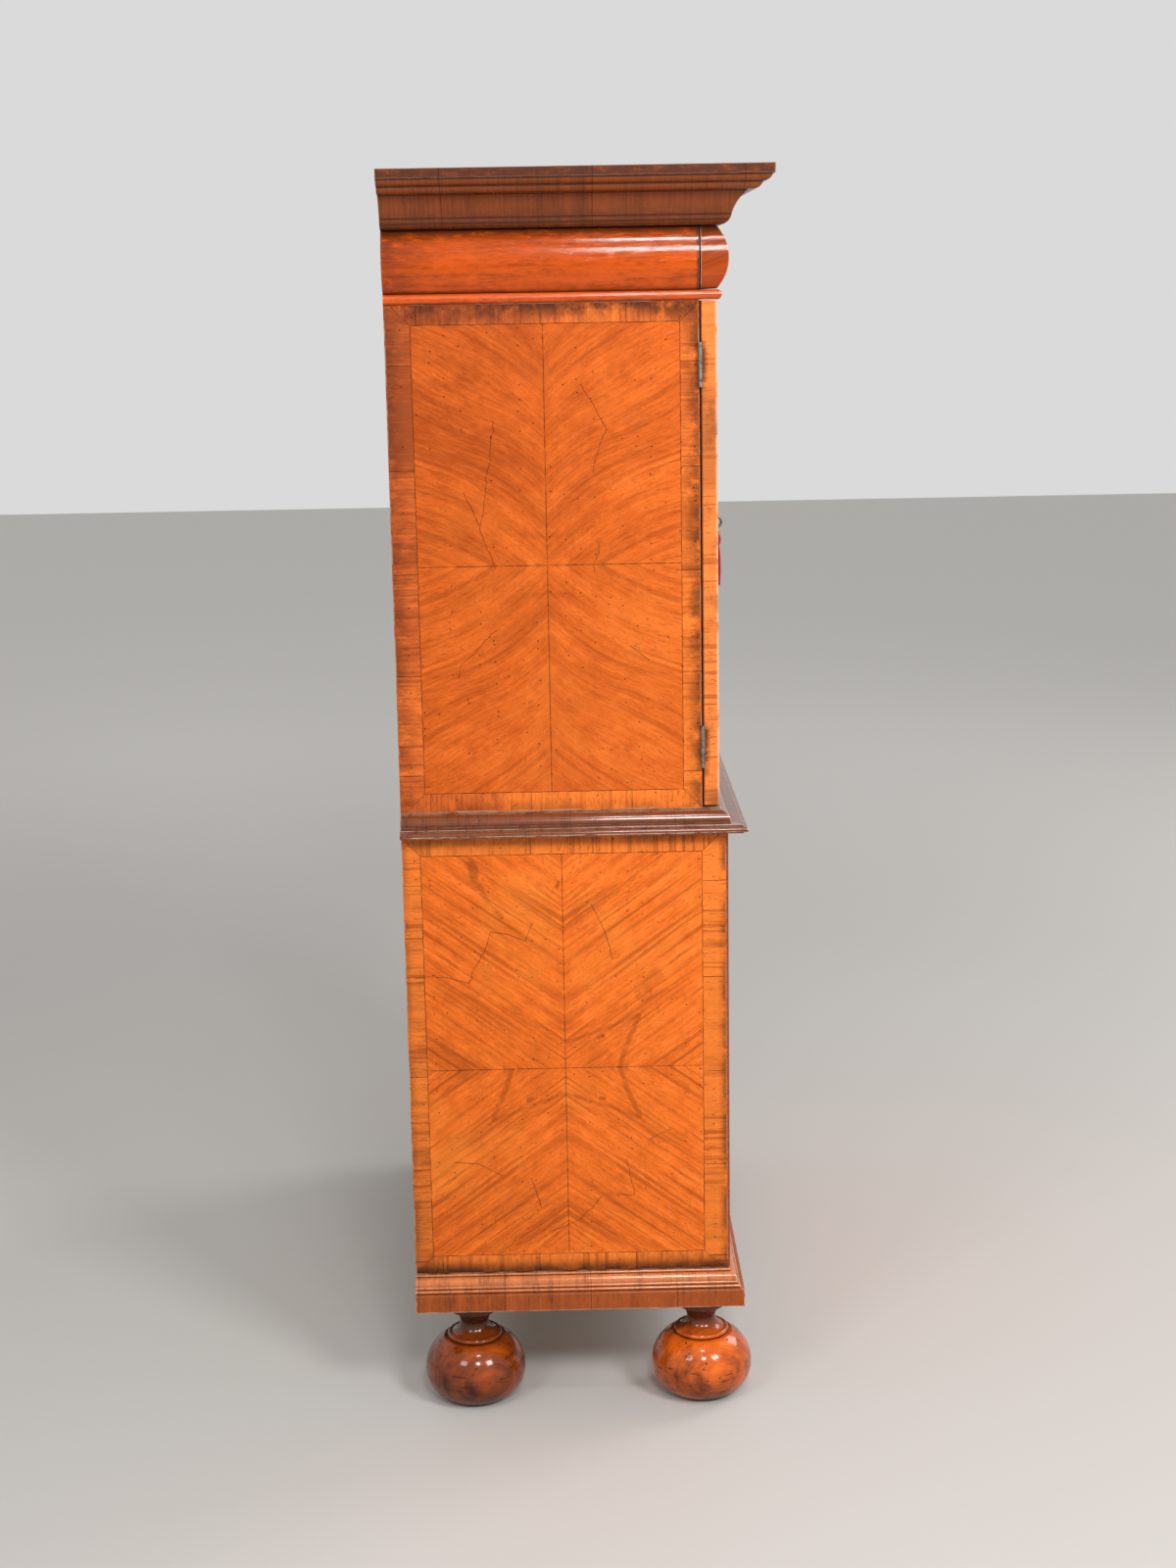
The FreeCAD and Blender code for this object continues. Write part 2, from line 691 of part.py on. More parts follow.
def keyhole(name, x, y, z, thick):
    """Cutters for a round hole and the slot below it that lets the key's bit pass."""
    hole = rod(name + "_round", "Y", "key_hole_radius", thick, x, y, z)
    half = "(bit_thick / 2 + bit_play)"
    slot = box(name + "_slot", ("%s - %s" % (x, half), "%s + %s" % (x, half)), (y, "%s + %s" % (y, thick)),
               ("%s - key_radius - bit_length - bit_play" % z, z))
    return [hole, slot]


def scutcheon(name, x, y, z):
    """A pointed oval plate with a keyhole, in front of a face."""
    body = doc.addObject("PartDesign::Body", name + "_oval")
    side = "(scutcheon_height^2 + scutcheon_width^2) / (4 * scutcheon_width)"
    outline = [("0", "-scutcheon_height / 2", side, 1), ("0", "scutcheon_height / 2", side, 1)]
    pad = body.newObject("PartDesign::Pad", name + "_pad")
    pad.Profile = section(body, name + "_outline", "XZ_Plane", outline)
    bind(pad, "Length", "plate_thick")
    seat(body, x, y, z)
    return cut(name, body, keyhole(name + "_hole", x, "%s - plate_thick" % y, z, "plate_thick"))


def doors():
    for side, way in FRONT_WAYS.items():
        slab = box("door_slab_" + side, sided(way, "meeting_gap / 2", "upper_half"), ("face", "door_back"),
                   ("door_low", "door_high"))
        seats = [box("door_seat_%s_%s" % (tag, side), sided(way, "upper_half - leaf_width", "upper_half"),
                     ("door_back - leaf_thick", "door_back"), (low, low + " + hinge_height"))
                 for tag, low in hinge_levels()]
        if side == "right":
            seats += keyhole("door_keyhole", "key_line", "face", "key_height", "door_thick")
        node(cut("door_cut_" + side, slab, seats), "door_" + side)


def door_bolts():
    """Two sliding bolts on the inner face of the left door, stored drawn back."""
    keeps = []
    x_mid = "-rod_inset"
    levels = (("top", "door_high - rod_rest - rod_length", "door_high - rod_rest - keep_inset - keep_length"),
              ("bottom", "door_low + rod_rest", "door_low + rod_rest + keep_inset"))
    for tag, low, plate_low in levels:
        plate = box("keep_plate_" + tag, (x_mid + " - keep_width / 2", x_mid + " + keep_width / 2"),
                    ("door_back", "door_back + keep_plate"), (plate_low, plate_low + " + keep_length"))
        guides = [plate]
        for end, at in (("low", plate_low + " + guide_end"),
                        ("high", plate_low + " + keep_length - guide_end - guide_thick")):
            guides.append(box("keep_guide_%s_%s" % (tag, end),
                              (x_mid + " - guide_width / 2", x_mid + " + guide_width / 2"),
                              ("door_back", "door_back + keep_plate + guide_height"),
                              (at, at + " + guide_thick")))
        whole = joined("keep_whole_" + tag, guides)
        bore = rod("keep_bore_" + tag, "Z", "rod_radius + bolt_play", "keep_length", x_mid, "rod_y",
                   plate_low)
        keeps.append(cut("keep_" + tag, whole, [bore]))
        bar = rod("bar_" + tag, "Z", "rod_radius", "rod_length", x_mid, "rod_y", low)
        knob = rod("knob_" + tag, "Y", "knob_radius", "knob_reach", x_mid, "rod_y",
                   plate_low + " + keep_length / 2")
        node(joined("bolt_%s_whole" % tag, [bar, knob]), "bolt_" + tag)
    node(group("keeps", keeps), "bolt_keeps")


def lock_and_key():
    case_x = ("meeting_gap / 2 + lock_edge", "meeting_gap / 2 + lock_edge + lock_width")
    case_z = ("key_height - lock_height / 2", "key_height + lock_height / 2")
    case_y = ("door_back", "door_back + lock_depth")
    case = box("lock_shell", case_x, case_y, case_z)
    room = box("lock_room", (case_x[0] + " + lock_wall", case_x[1] + " - lock_wall"),
               (case_y[0], case_y[1] + " - lock_wall"),
               (case_z[0] + " + lock_wall", case_z[1] + " - lock_wall"))
    bolt_z = ("key_height + bolt_rise", "key_height + bolt_rise + bolt_height")
    # the bolt runs close behind the door, so that it shoots behind the other one
    bolt_y = ("door_back + bolt_play", "door_back + bolt_play + bolt_thick")
    mouth = box("lock_mouth", (case_x[0], case_x[0] + " + lock_wall"),
                (bolt_y[0] + " - bolt_play", bolt_y[1] + " + bolt_play"),
                (bolt_z[0] + " - bolt_play", bolt_z[1] + " + bolt_play"))
    # the end of the key turns in the back of the case
    pivot = rod("lock_pivot", "Y", "key_radius + pin_play", "lock_wall", "key_line",
                case_y[1] + " - lock_wall", "key_height")
    node(cut("lock_hollow", case, [room, mouth, pivot]), "lock_case")
    bolt = box("lock_tongue", (case_x[0] + " + bolt_play", case_x[0] + " + bolt_play + bolt_length"),
               bolt_y, bolt_z)
    node(bolt, "lock_bolt")

    node(scutcheon("door_scutcheon", "key_line", "face", "key_height"), "door_escutcheon")

    shank = rod("key_shank", "Y", "key_radius", "bow_reach - bow_radius + door_thick + lock_depth",
                "key_line", "bow_middle + bow_radius", "key_height")
    ring = doc.addObject("Part::Torus", "key_bow")
    bind(ring, "Radius1", "bow_radius")
    bind(ring, "Radius2", "bow_wire")
    seat(ring, "key_line", "bow_middle", "key_height", (0, 1, 0), 90)
    bit = box("key_bit", ("key_line - bit_thick / 2", "key_line + bit_thick / 2"),
              ("door_back + bit_gap", "door_back + bit_gap + bit_width"),
              ("key_height - key_radius - bit_length", "key_height"))
    node(joined("key_whole", [shank, ring, bit]), "key")
    key_tassel()


def key_tassel():
    """A cord eye round the foot of the bow, then a turned head and a spreading skirt of threads."""
    hang = "(key_height - bow_radius)"
    eye = doc.addObject("Part::Torus", "tassel_eye")
    bind(eye, "Radius1", "loop_length / 2 - loop_wire")
    bind(eye, "Radius2", "loop_wire")
    eye_mid = "%s + bow_wire + loop_play - loop_length / 2 + 2 * loop_wire" % hang
    seat(eye, "key_line", "bow_middle", eye_mid, (1, 0, 0), 90)
    top = "(%s - loop_length / 2 + 2 * loop_wire)" % eye_mid
    low = "%s - tassel_length" % top
    neck = "%s - tassel_head" % top
    body = doc.addObject("PartDesign::Body", "tassel_skirt_body")
    outline = [("0", low),
               ("tassel_skirt", low),
               ("skirt_waist", "%s + skirt_turn" % low),
               ("tie_radius", "%s - tie_height" % neck),
               ("tie_radius", neck, "head_round", 1),
               ("head_top", top),
               ("0", top)]
    turning = body.newObject("PartDesign::Revolution", "tassel_turning")
    sketch = section(body, "tassel_outline", "XZ_Plane", outline)
    turning.Profile = sketch
    turning.ReferenceAxis = (sketch, ["V_Axis"])
    turning.Angle = 360
    seat(body, "key_line", "bow_middle", "0")
    node(joined("tassel_whole", [eye, body]), "key_tassel")


def drawer_box(stem, x, front_y, floor, ceiling):
    """Two sides, a back and a bottom behind a drawer front."""
    low = "%s + drawer_run_gap" % floor
    high = "%s - wall_drop" % ceiling
    rear = "back_wall - back_gap"
    left = "%s + side_play" % x[0]
    right = "%s - side_play" % x[1]
    side_y = (front_y, rear)
    inner_x = ("%s + drawer_wall" % left, "%s - drawer_wall" % right)
    lift = "%s + drawer_bottom" % low
    return group(stem + "_box", [
        box(stem + "_wall_left", (left, "%s + drawer_wall" % left), side_y, (low, high)),
        box(stem + "_wall_right", ("%s - drawer_wall" % right, right), side_y, (low, high)),
        box(stem + "_wall_back", inner_x, ("%s - drawer_wall" % rear, rear), (lift, high)),
        box(stem + "_floor", inner_x, (front_y, rear), (low, lift))])


def frieze_drawer():
    """The cushion runs across the front and turns the corner at both ends of the drawer."""
    low = "frieze_foot + frieze_clear"
    high = "cornice_low - frieze_clear"
    swell = "((%s - (%s))^2 / 4 + frieze_swell^2) / (2 * frieze_swell)" % (high, low)
    across = [("door_thick", low), ("door_thick", high), ("0", high, swell, 1), ("0", low)]
    wide = "upper_half + frieze_swell + overrun"
    roll = run_of("frieze_roll", across, "-(%s)" % wide, wide, "0", "0", low, high)
    seat(roll, "0", "face", "0")
    ends = doc.addObject("PartDesign::Body", "frieze_ends")
    lengthwise = [("-upper_half", low), ("upper_half", low, swell, 1),
                  ("upper_half", high), ("-upper_half", high, swell, 1)]
    pad = ends.newObject("PartDesign::Pad", "frieze_ends_run")
    pad.Profile = section(ends, "frieze_ends_section", "XZ_Plane", lengthwise, "-(door_back + overrun)")
    bind(pad, "Length", "door_thick + frieze_swell + 2 * overrun")
    shaped = doc.addObject("Part::Common", "frieze_cushion")
    shaped.Base = roll
    shaped.Tool = ends
    node(shaped, "frieze_drawer_front")
    node(drawer_box("frieze_drawer", ("-upper_inner", "upper_inner"), "door_back", "frieze_foot",
                    "cornice_low"), "frieze_drawer_box")


def handle_plate(stem, x, z):
    """A round plate with two ears that carry a pin."""
    plate = rod(stem + "_plate", "Y", "handle_radius", "plate_thick", x, "front - plate_thick", z)
    parts = [plate]
    for tag, way in FRONT_WAYS.items():
        inner = "drop_width / 2 + ear_play"
        low, high = sided(way, inner, inner + " + ear_width")
        parts.append(box("%s_ear_%s" % (stem, tag), ("%s + %s" % (x, low), "%s + %s" % (x, high)),
                         ("front - plate_thick - drop_stand - ear_height / 2", "front - plate_thick / 2"),
                         ("%s + handle_rise - ear_height / 2" % z, "%s + handle_rise + ear_height / 2" % z)))
    reach = "drop_width / 2 + ear_play + ear_width"
    parts.append(rod(stem + "_pin", "X", "drop_pin", "2 * (%s)" % reach, "%s - (%s)" % (x, reach),
                     "front - plate_thick - drop_stand", "%s + handle_rise" % z))
    return joined(stem + "_backplate", parts)


def drop(stem, x, z):
    """A pear-shaped drop with an eye that runs on the pin."""
    y = "front - plate_thick - drop_stand"
    pivot = "%s + handle_rise" % z
    eye = rod(stem + "_eye", "X", "drop_eye", "drop_width", "%s - drop_width / 2" % x, y, pivot)
    bob = doc.addObject("Part::Sphere", stem + "_bob")
    bind(bob, "Radius", "drop_bob")
    seat(bob, x, y, "%s - drop_length + drop_bob" % pivot)
    neck = doc.addObject("Part::Cone", stem + "_neck")
    bind(neck, "Radius1", "neck_foot")
    bind(neck, "Radius2", "neck_tip")
    bind(neck, "Height", "drop_length - neck_rise")
    seat(neck, x, y, "%s - drop_length + neck_rise" % pivot)
    bore = rod(stem + "_bore", "X", "drop_pin + pin_play", "drop_width", "%s - drop_width / 2" % x, y, pivot)
    return cut(stem + "_drop", joined(stem + "_solid", [eye, bob, neck]), [bore])


def chest_drawer(stem, x, floor, ceiling, handle_xs):
    """A flush drawer: its front, its box, its brass plates and one drop to each plate."""
    clear_x = ("%s + drawer_clear" % x[0], "%s - drawer_clear" % x[1])
    clear_z = ("%s + drawer_clear" % floor, "%s - drawer_clear" % ceiling)
    node(box(stem + "_face", clear_x, ("front", "front + drawer_front"), clear_z), stem + "_front")
    node(drawer_box(stem, x, "front + drawer_front", floor, ceiling), stem + "_box")
    middle = "((%s) + (%s)) / 2" % (floor, ceiling)
    plates = []
    centre = "((%s) + (%s)) / 2" % x
    high = "%s - scutcheon_drop" % ceiling
    plates.append(scutcheon(stem + "_scutcheon", centre, "front", high))
    for count, handle_x in enumerate(handle_xs, start=1):
        name = "%s_handle_%d" % (stem, count)
        low = "%s - scutcheon_height / 2" % middle
        plates.append(handle_plate(name, handle_x, low))
        label = stem + "_drop" if len(handle_xs) == 1 else "%s_drop_%d" % (stem, count)
        node(drop(name, handle_x, low), label)
    node(group(stem + "_brasses", plates), stem + "_plates")


def chest_drawers():
    long_x = ("-inner_half", "inner_half")
    pair = ("-(chest_width * handle_place)", "chest_width * handle_place")
    chest_drawer("drawer_low", long_x, "drawer_floor", "rail_one", pair)
    chest_drawer("drawer_mid", long_x, "rail_one + rail", "rail_two", pair)
    for side, way in FRONT_WAYS.items():
        x = sided(way, "rail / 2", "inner_half")
        middle = "((%s) + (%s)) / 2" % x
        chest_drawer("drawer_%s" % side, x, "rail_two + rail", "chest_ceiling", (middle,))


feet_and_base()
chest_carcase()
drawer_frames()
opening_beads()
waist()
cabinet_carcase()
frieze_and_cornice()
hinges()
doors()
door_bolts()
lock_and_key()
frieze_drawer()
chest_drawers()
doc.recompute()

for thing in doc.Objects:
    if "Invalid" in thing.State or "Error" in thing.State:
        raise RuntimeError("%s did not build: %s" % (thing.Label, thing.State))
for thing in nodes:
    if thing.Shape.isNull() or not thing.Shape.isValid():
        raise RuntimeError("%s has no valid shape" % thing.Label)

os.makedirs("parts", exist_ok=True)
for thing in nodes:
    thing.Shape.exportStep("parts/%s.step" % thing.Label)
print("%d nodes, %d solids" % (len(nodes), sum(len(thing.Shape.Solids) for thing in nodes)))
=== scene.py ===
"""Looks of a walnut cabinet on a chest: woods, metalwork, key tassel and stage."""

import math
import random

import bmesh
import bpy
from bpy.props import FloatProperty, FloatVectorProperty, IntProperty, PointerProperty
from mathutils import Matrix, Vector


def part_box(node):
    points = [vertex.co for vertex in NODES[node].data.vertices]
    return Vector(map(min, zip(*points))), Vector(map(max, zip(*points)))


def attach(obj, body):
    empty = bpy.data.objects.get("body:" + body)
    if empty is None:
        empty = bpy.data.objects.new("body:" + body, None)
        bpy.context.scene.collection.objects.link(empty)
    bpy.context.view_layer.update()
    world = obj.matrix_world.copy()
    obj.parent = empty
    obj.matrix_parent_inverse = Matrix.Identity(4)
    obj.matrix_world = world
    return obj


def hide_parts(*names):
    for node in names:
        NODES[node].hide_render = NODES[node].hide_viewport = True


bl_info = {
    "name": "Walnut cabinet on a chest",
    "version": (1, 0, 0),
    "blender": (4, 5, 0),
    "location": "View3D > Sidebar > Cabinet",
    "description": "Veneers, mouldings, metalwork, tassel and stage for the packed cabinet",
    "category": "Object",
}

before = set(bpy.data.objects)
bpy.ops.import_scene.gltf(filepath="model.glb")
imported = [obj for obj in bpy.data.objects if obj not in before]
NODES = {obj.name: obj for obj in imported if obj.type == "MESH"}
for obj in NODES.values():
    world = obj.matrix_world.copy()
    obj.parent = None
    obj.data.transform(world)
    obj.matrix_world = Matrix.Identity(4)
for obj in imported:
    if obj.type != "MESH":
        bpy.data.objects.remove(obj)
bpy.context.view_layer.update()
BASE_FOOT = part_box("base_front")[0].z
BASE_BAND = 0.0255
HINGE_HEIGHTS = (1.440, 0.934)

# Panels inside the crossbanding (front, back, foot, top) and the crossings of their joints
CHEST_PANEL = (-0.1550, 0.2234, BASE_FOOT + 0.0748, BASE_FOOT + 0.6484)
CHEST_JOINT = (0.0340, BASE_FOOT + 0.3462)
CABINET_PANEL = (-0.1316, 0.2150, BASE_FOOT + 0.7324, BASE_FOOT + 1.3474)
CABINET_JOINT = (0.0450, BASE_FOOT + 1.0362)

# Slope of the streaks in degrees, how far they fan, and knees (across, up, reach, push)
CHEST_FIGURE = (36.0, 0.0, ())
CABINET_FIGURE = (44.0, 2.1, ((0.120, 0.200, 0.060, 0.012),))
DRAWER_FIGURE = (28.0, 0.8, ((0.110, 0.040, 0.050, 0.030),))

# Depth and reach of the darkening along the first side, second side, foot and top of a face: dark
# wax along the sides, darker towards the foot, and painted shadow with dark wax under the moulding
# at the top
CHEST_BORDER_DARKENING = ((0.75, 0.014), (0.45, 0.012), (0.97, 0.024), (0.60, 0.020))
CABINET_BORDER_DARKENING = ((0.75, 0.026), (0.60, 0.030), (0.45, 0.020), (0.95, 0.036))
FRONT_BORDER_DARKENING = ((0.45, 0.012),) * 4

# Brightness of the veneers, in one number or for red, green and blue
CHEST_BRIGHT = 0.99
CABINET_BRIGHT = (0.80, 0.745, 0.74)
FRONT_BRIGHT = 0.95

# Hairline cracks of the left sides, as points (depth, height)
HAIR_HALF = 0.00056
CHEST_CRACKS = (
    ((0.246, 0.629), (0.193, 0.628), (0.163, 0.6185), (0.140, 0.6695), (0.132, 0.691),
     (0.109, 0.687), (0.085, 0.677), (0.077, 0.702)),
    ((-0.005, 0.726), (-0.022, 0.689), (-0.033, 0.649)),
    ((-0.011, 0.307), (0.018, 0.272), (0.061, 0.258)),
    ((0.190, 0.362), (0.157, 0.359), (0.1235, 0.340)),
    ((-0.048, 0.360), (-0.0575, 0.309), (-0.033, 0.3105)),
    ((0.084, 0.336), (0.071, 0.291)),
    ((-0.079, 0.389), (-0.110, 0.403)),
)
CABINET_CRACKS = (
    ((-0.002, 1.419), (-0.0207, 1.389), (-0.034, 1.3615), (-0.0175, 1.305)),
    ((0.111, 1.373), (0.1207, 1.3066), (0.132, 1.233), (0.113, 1.183)),
    ((0.153, 1.283), (0.132, 1.238)),
    ((0.115, 1.102), (0.1585, 1.056), (0.165, 1.037)),
    ((-0.017, 1.175), (-0.024, 1.212)),
    ((-0.062, 1.077), (-0.087, 1.057)),
)

# Strokes as points, half width and depth: knees from a leaf's inner corner, smudges on the side
CHEST_KNEES = (
    (((0.074, 0.0), (0.085, 0.034), (0.101, 0.073)), 0.0034, 0.48),
    (((0.101, 0.073), (0.060, 0.058), (0.0, 0.036)), 0.0026, 0.34),
    (((0.046, 0.043), (0.052, 0.045)), 0.0026, 0.60),
)
CHEST_SMUDGES = (
    (((0.156, 0.786), (0.151, 0.764)), 0.0060, 0.50),
    (((0.151, 0.764), (0.133, 0.729), (0.117, 0.712)), 0.0038, 0.34),
    (((0.038, 0.757), (0.040, 0.752)), 0.0030, 0.75),
    (((-0.0896, 0.6253), (-0.0719, 0.598)), 0.0100, 0.25),
    (((0.2067, 0.520), (0.1776, 0.5055)), 0.0200, 0.22),
    (((-0.0102, 0.501), (-0.020, 0.510)), 0.0120, 0.24),
)

# Heights at which a stain starts, is full, ebbs and ends: from the joint, and on the door's edge
BAND_STAINS = ((0.005, 0.035, 0.100, 0.140), (-0.130, -0.100, -0.070, -0.040))
EDGE_STAIN = (1.255, 1.295, 1.395, 1.425)

# Lamps by their setting: place, aim, width and height
LAMPS = (
    ("key", (-2.9, -2.0, 2.7), (0.0, -0.1, 0.9), 0.9, 0.9),
    ("middle", (-3.5, -0.34, 2.9), (0.0, 0.0, 0.9), 0.52, 0.6),
    ("fill", (-3.0, 1.8, 2.7), (0.0, 0.1, 0.9), 0.9, 0.9),
    ("high", (-1.7, -0.20, 3.0), (-0.47, -0.05, 1.5), 0.28, 0.14),
    ("front", (1.6, -3.4, 2.6), (0.0, 0.0, 0.8), 1.6, 1.6),
)


def colour(label, words, value):
    return FloatVectorProperty(name=label, description=words, subtype="COLOR", size=3,
                               min=0.0, max=1.0, default=value)


def length(label, words, value):
    return FloatProperty(name=label, description=words, subtype="DISTANCE", unit="LENGTH",
                         min=0.0, default=value)


def power(label, words, value):
    return FloatProperty(name=label, description=words, unit="POWER", min=0.0, default=value)


def count(label, words, value):
    return IntProperty(name=label, description=words, min=2, default=value)


class WalnutTones(bpy.types.PropertyGroup):
    """Colours of the woods, metals and thread"""

    figure_dark: colour("Figure dark", "Dark streaks of the veneer", (0.46, 0.074, 0.006))
    figure_mid: colour("Figure middle", "Common tone of the veneer", (0.79, 0.150, 0.014))
    figure_light: colour("Figure light", "Pale streaks of the veneer", (0.94, 0.215, 0.028))
    # Figure gold also stands for a painted sheen where the figure catches the light
    figure_gold: colour("Figure gold", "Faded golden patches of the veneer", (0.86, 0.245, 0.030))
    band_light: colour("Light banding", "Common tone of the chest's bands", (0.76, 0.180, 0.024))
    band_dark: colour("Dark banding", "Common tone of the cabinet's bands", (0.63, 0.120, 0.021))
    edge_mid: colour("Door edge", "Common tone of the doors' veneered edges", (0.90, 0.230, 0.045))
    moulding_dark: colour("Moulding dark", "Dark tone of the mouldings", (0.055, 0.012, 0.003))
    moulding_mid: colour("Moulding middle", "Common tone of the mouldings", (0.130, 0.028, 0.005))
    cushion_mid: colour("Cushion", "Common tone of the swelled frieze", (0.52, 0.072, 0.004))
    reed_mid: colour("Reeds", "Common tone of the base's reeds", (0.64, 0.180, 0.045))
    foot_mid: colour("Foot", "Common tone of the turned feet", (0.34, 0.058, 0.004))
    # Worn edge tone, also the colour of painted highlights along arrises and moulding edges
    worn_and_highlight: colour("Worn edge", "Pale tone where edges are rubbed", (0.72, 0.46, 0.30))
    # Grime tone, also the colour of painted shade in quirks, corners, gaps, necks and under
    # mouldings
    grime_and_shade: colour("Grime", "Dark wax in corners, joints and pores", (0.045, 0.012, 0.005))
    oak: colour("Oak", "Drawer linings and shelves", (0.36, 0.22, 0.11))
    deal: colour("Deal", "Softwood carcase boards", (0.40, 0.25, 0.13))
    brass: colour("Brass", "Handles, plates and escutcheons", (0.55, 0.36, 0.13))
    iron: colour("Iron", "Lock, bolts and key", (0.27, 0.25, 0.225))
    steel: colour("Steel", "Rubbed knuckles and leaves of the hinges", (0.31, 0.27, 0.23))
    silk: colour("Silk", "Thread of the tassel", (0.45, 0.012, 0.035))


class VeneerSizes(bpy.types.PropertyGroup):
    """Layout of the veneers"""

    band: length("Band", "Width of the crossbanding on doors", 0.042)
    drawer_band: length("Drawer band", "Width of the crossbanding on drawers", 0.026)
    joint: length("Joint", "Half width of a veneer joint", 0.00045)
    piece: length("Piece", "Length of one piece of crossbanding", 0.135)


class TasselSizes(bpy.types.PropertyGroup):
    """Sizes of the key tassel"""

    threads: count("Threads", "Threads in the skirt", 150)
    turns: count("Turns", "Turns of thread wound round the head", 15)
    tuft: count("Tuft", "Cut ends that stand up from the head", 22)
    thread: length("Thread", "Radius of one thread", 0.00055)
    head: length("Head", "Height of the wound head", 0.017)
    eye: length("Eye", "Radius of the twisted eye", 0.006)
    seed: IntProperty(name="Seed", description="Seed of the threads' scatter", default=7)


class StudioLevels(bpy.types.PropertyGroup):
    """Floor, backdrop and lamps"""

    floor: colour("Floor", "Colour of the floor", (0.62, 0.60, 0.57))
    backdrop: colour("Backdrop", "Colour seen behind the cabinet", (0.70, 0.70, 0.70))
    key: power("Key lamp", "Power of the main lamp", 62.0)
    middle: power("Middle lamp", "Power of the lamp over the viewer", 36.0)
    fill: power("Fill lamp", "Power of the fill lamp", 24.0)
    high: power("High lamp", "Power of the lamp above", 7.0)
    front: power("Front lamp", "Power of the lamp before the doors", 52.0)
    sky: FloatProperty(name="Sky", description="Strength of the even light", default=0.43)


class CabinetSettings(bpy.types.PropertyGroup):
    """All settings of the cabinet's looks"""

    tones: PointerProperty(type=WalnutTones)
    veneers: PointerProperty(type=VeneerSizes)
    tassel: PointerProperty(type=TasselSizes)
    studio: PointerProperty(type=StudioLevels)


def settings():
    return bpy.context.scene.walnut_cabinet


class Value:
    """A shader socket that takes part in Python arithmetic"""

    def __init__(self, shading, socket):
        self.shading = shading
        self.socket = socket

    def maths(self, operation, *others, clamp=False):
        inputs = dict(enumerate((self,) + others))
        options = {"operation": operation, "use_clamp": clamp}
        return self.shading.node("ShaderNodeMath", options, inputs)

    def swapped(self, operation, other):
        return self.shading.node("ShaderNodeMath", {"operation": operation}, {0: other, 1: self})

    def __add__(self, other):
        return self.maths("ADD", other)

    def __radd__(self, other):
        return self.swapped("ADD", other)

    def __sub__(self, other):
        return self.maths("SUBTRACT", other)

    def __rsub__(self, other):
        return self.swapped("SUBTRACT", other)

    def __mul__(self, other):
        return self.maths("MULTIPLY", other)

    def __rmul__(self, other):
        return self.swapped("MULTIPLY", other)

    def __truediv__(self, other):
        return self.maths("DIVIDE", other)

    def __rtruediv__(self, other):
        return self.swapped("DIVIDE", other)

    def __pow__(self, other):
        return self.maths("POWER", other)

    def __rpow__(self, other):
        return self.swapped("POWER", other)

    def __abs__(self):
        return self.maths("ABSOLUTE")

    def __gt__(self, other):
        return self.maths("GREATER_THAN", other)

    def __lt__(self, other):
        return self.maths("LESS_THAN", other)

    def floor(self):
        return self.maths("FLOOR")

    def fract(self):
        return self.maths("FRACT")

    def least(self, other):
        return self.maths("MINIMUM", other)

    def most(self, other):
        return self.maths("MAXIMUM", other)


class Shading:
    """A shader node tree, whose nodes are added by expressions"""

    def __init__(self, tree):
        self.tree = tree

    def node(self, kind, options=None, inputs=None, output=0):
        made = self.tree.nodes.new(kind)
        for label, value in (options or {}).items():
            if label == "stops":
                self.stops(made.color_ramp, value)
            else:
                setattr(made, label, value)
        for label, value in (inputs or {}).items():
            self.feed(made.inputs[label], value)
        return Value(self, made.outputs[output])

    def stops(self, ramp, stops):
        while len(ramp.elements) < len(stops):
            ramp.elements.new(0.5)
        for element, (place, shade) in zip(ramp.elements, stops):
            element.position = place
            element.color = tuple(shade) + (1.0,)

    def feed(self, socket, value):
        if isinstance(value, Value):
            self.tree.links.new(value.socket, socket)
        elif socket.type == "RGBA" and len(value) == 3:
            socket.default_value = tuple(value) + (1.0,)
        else:
            socket.default_value = value


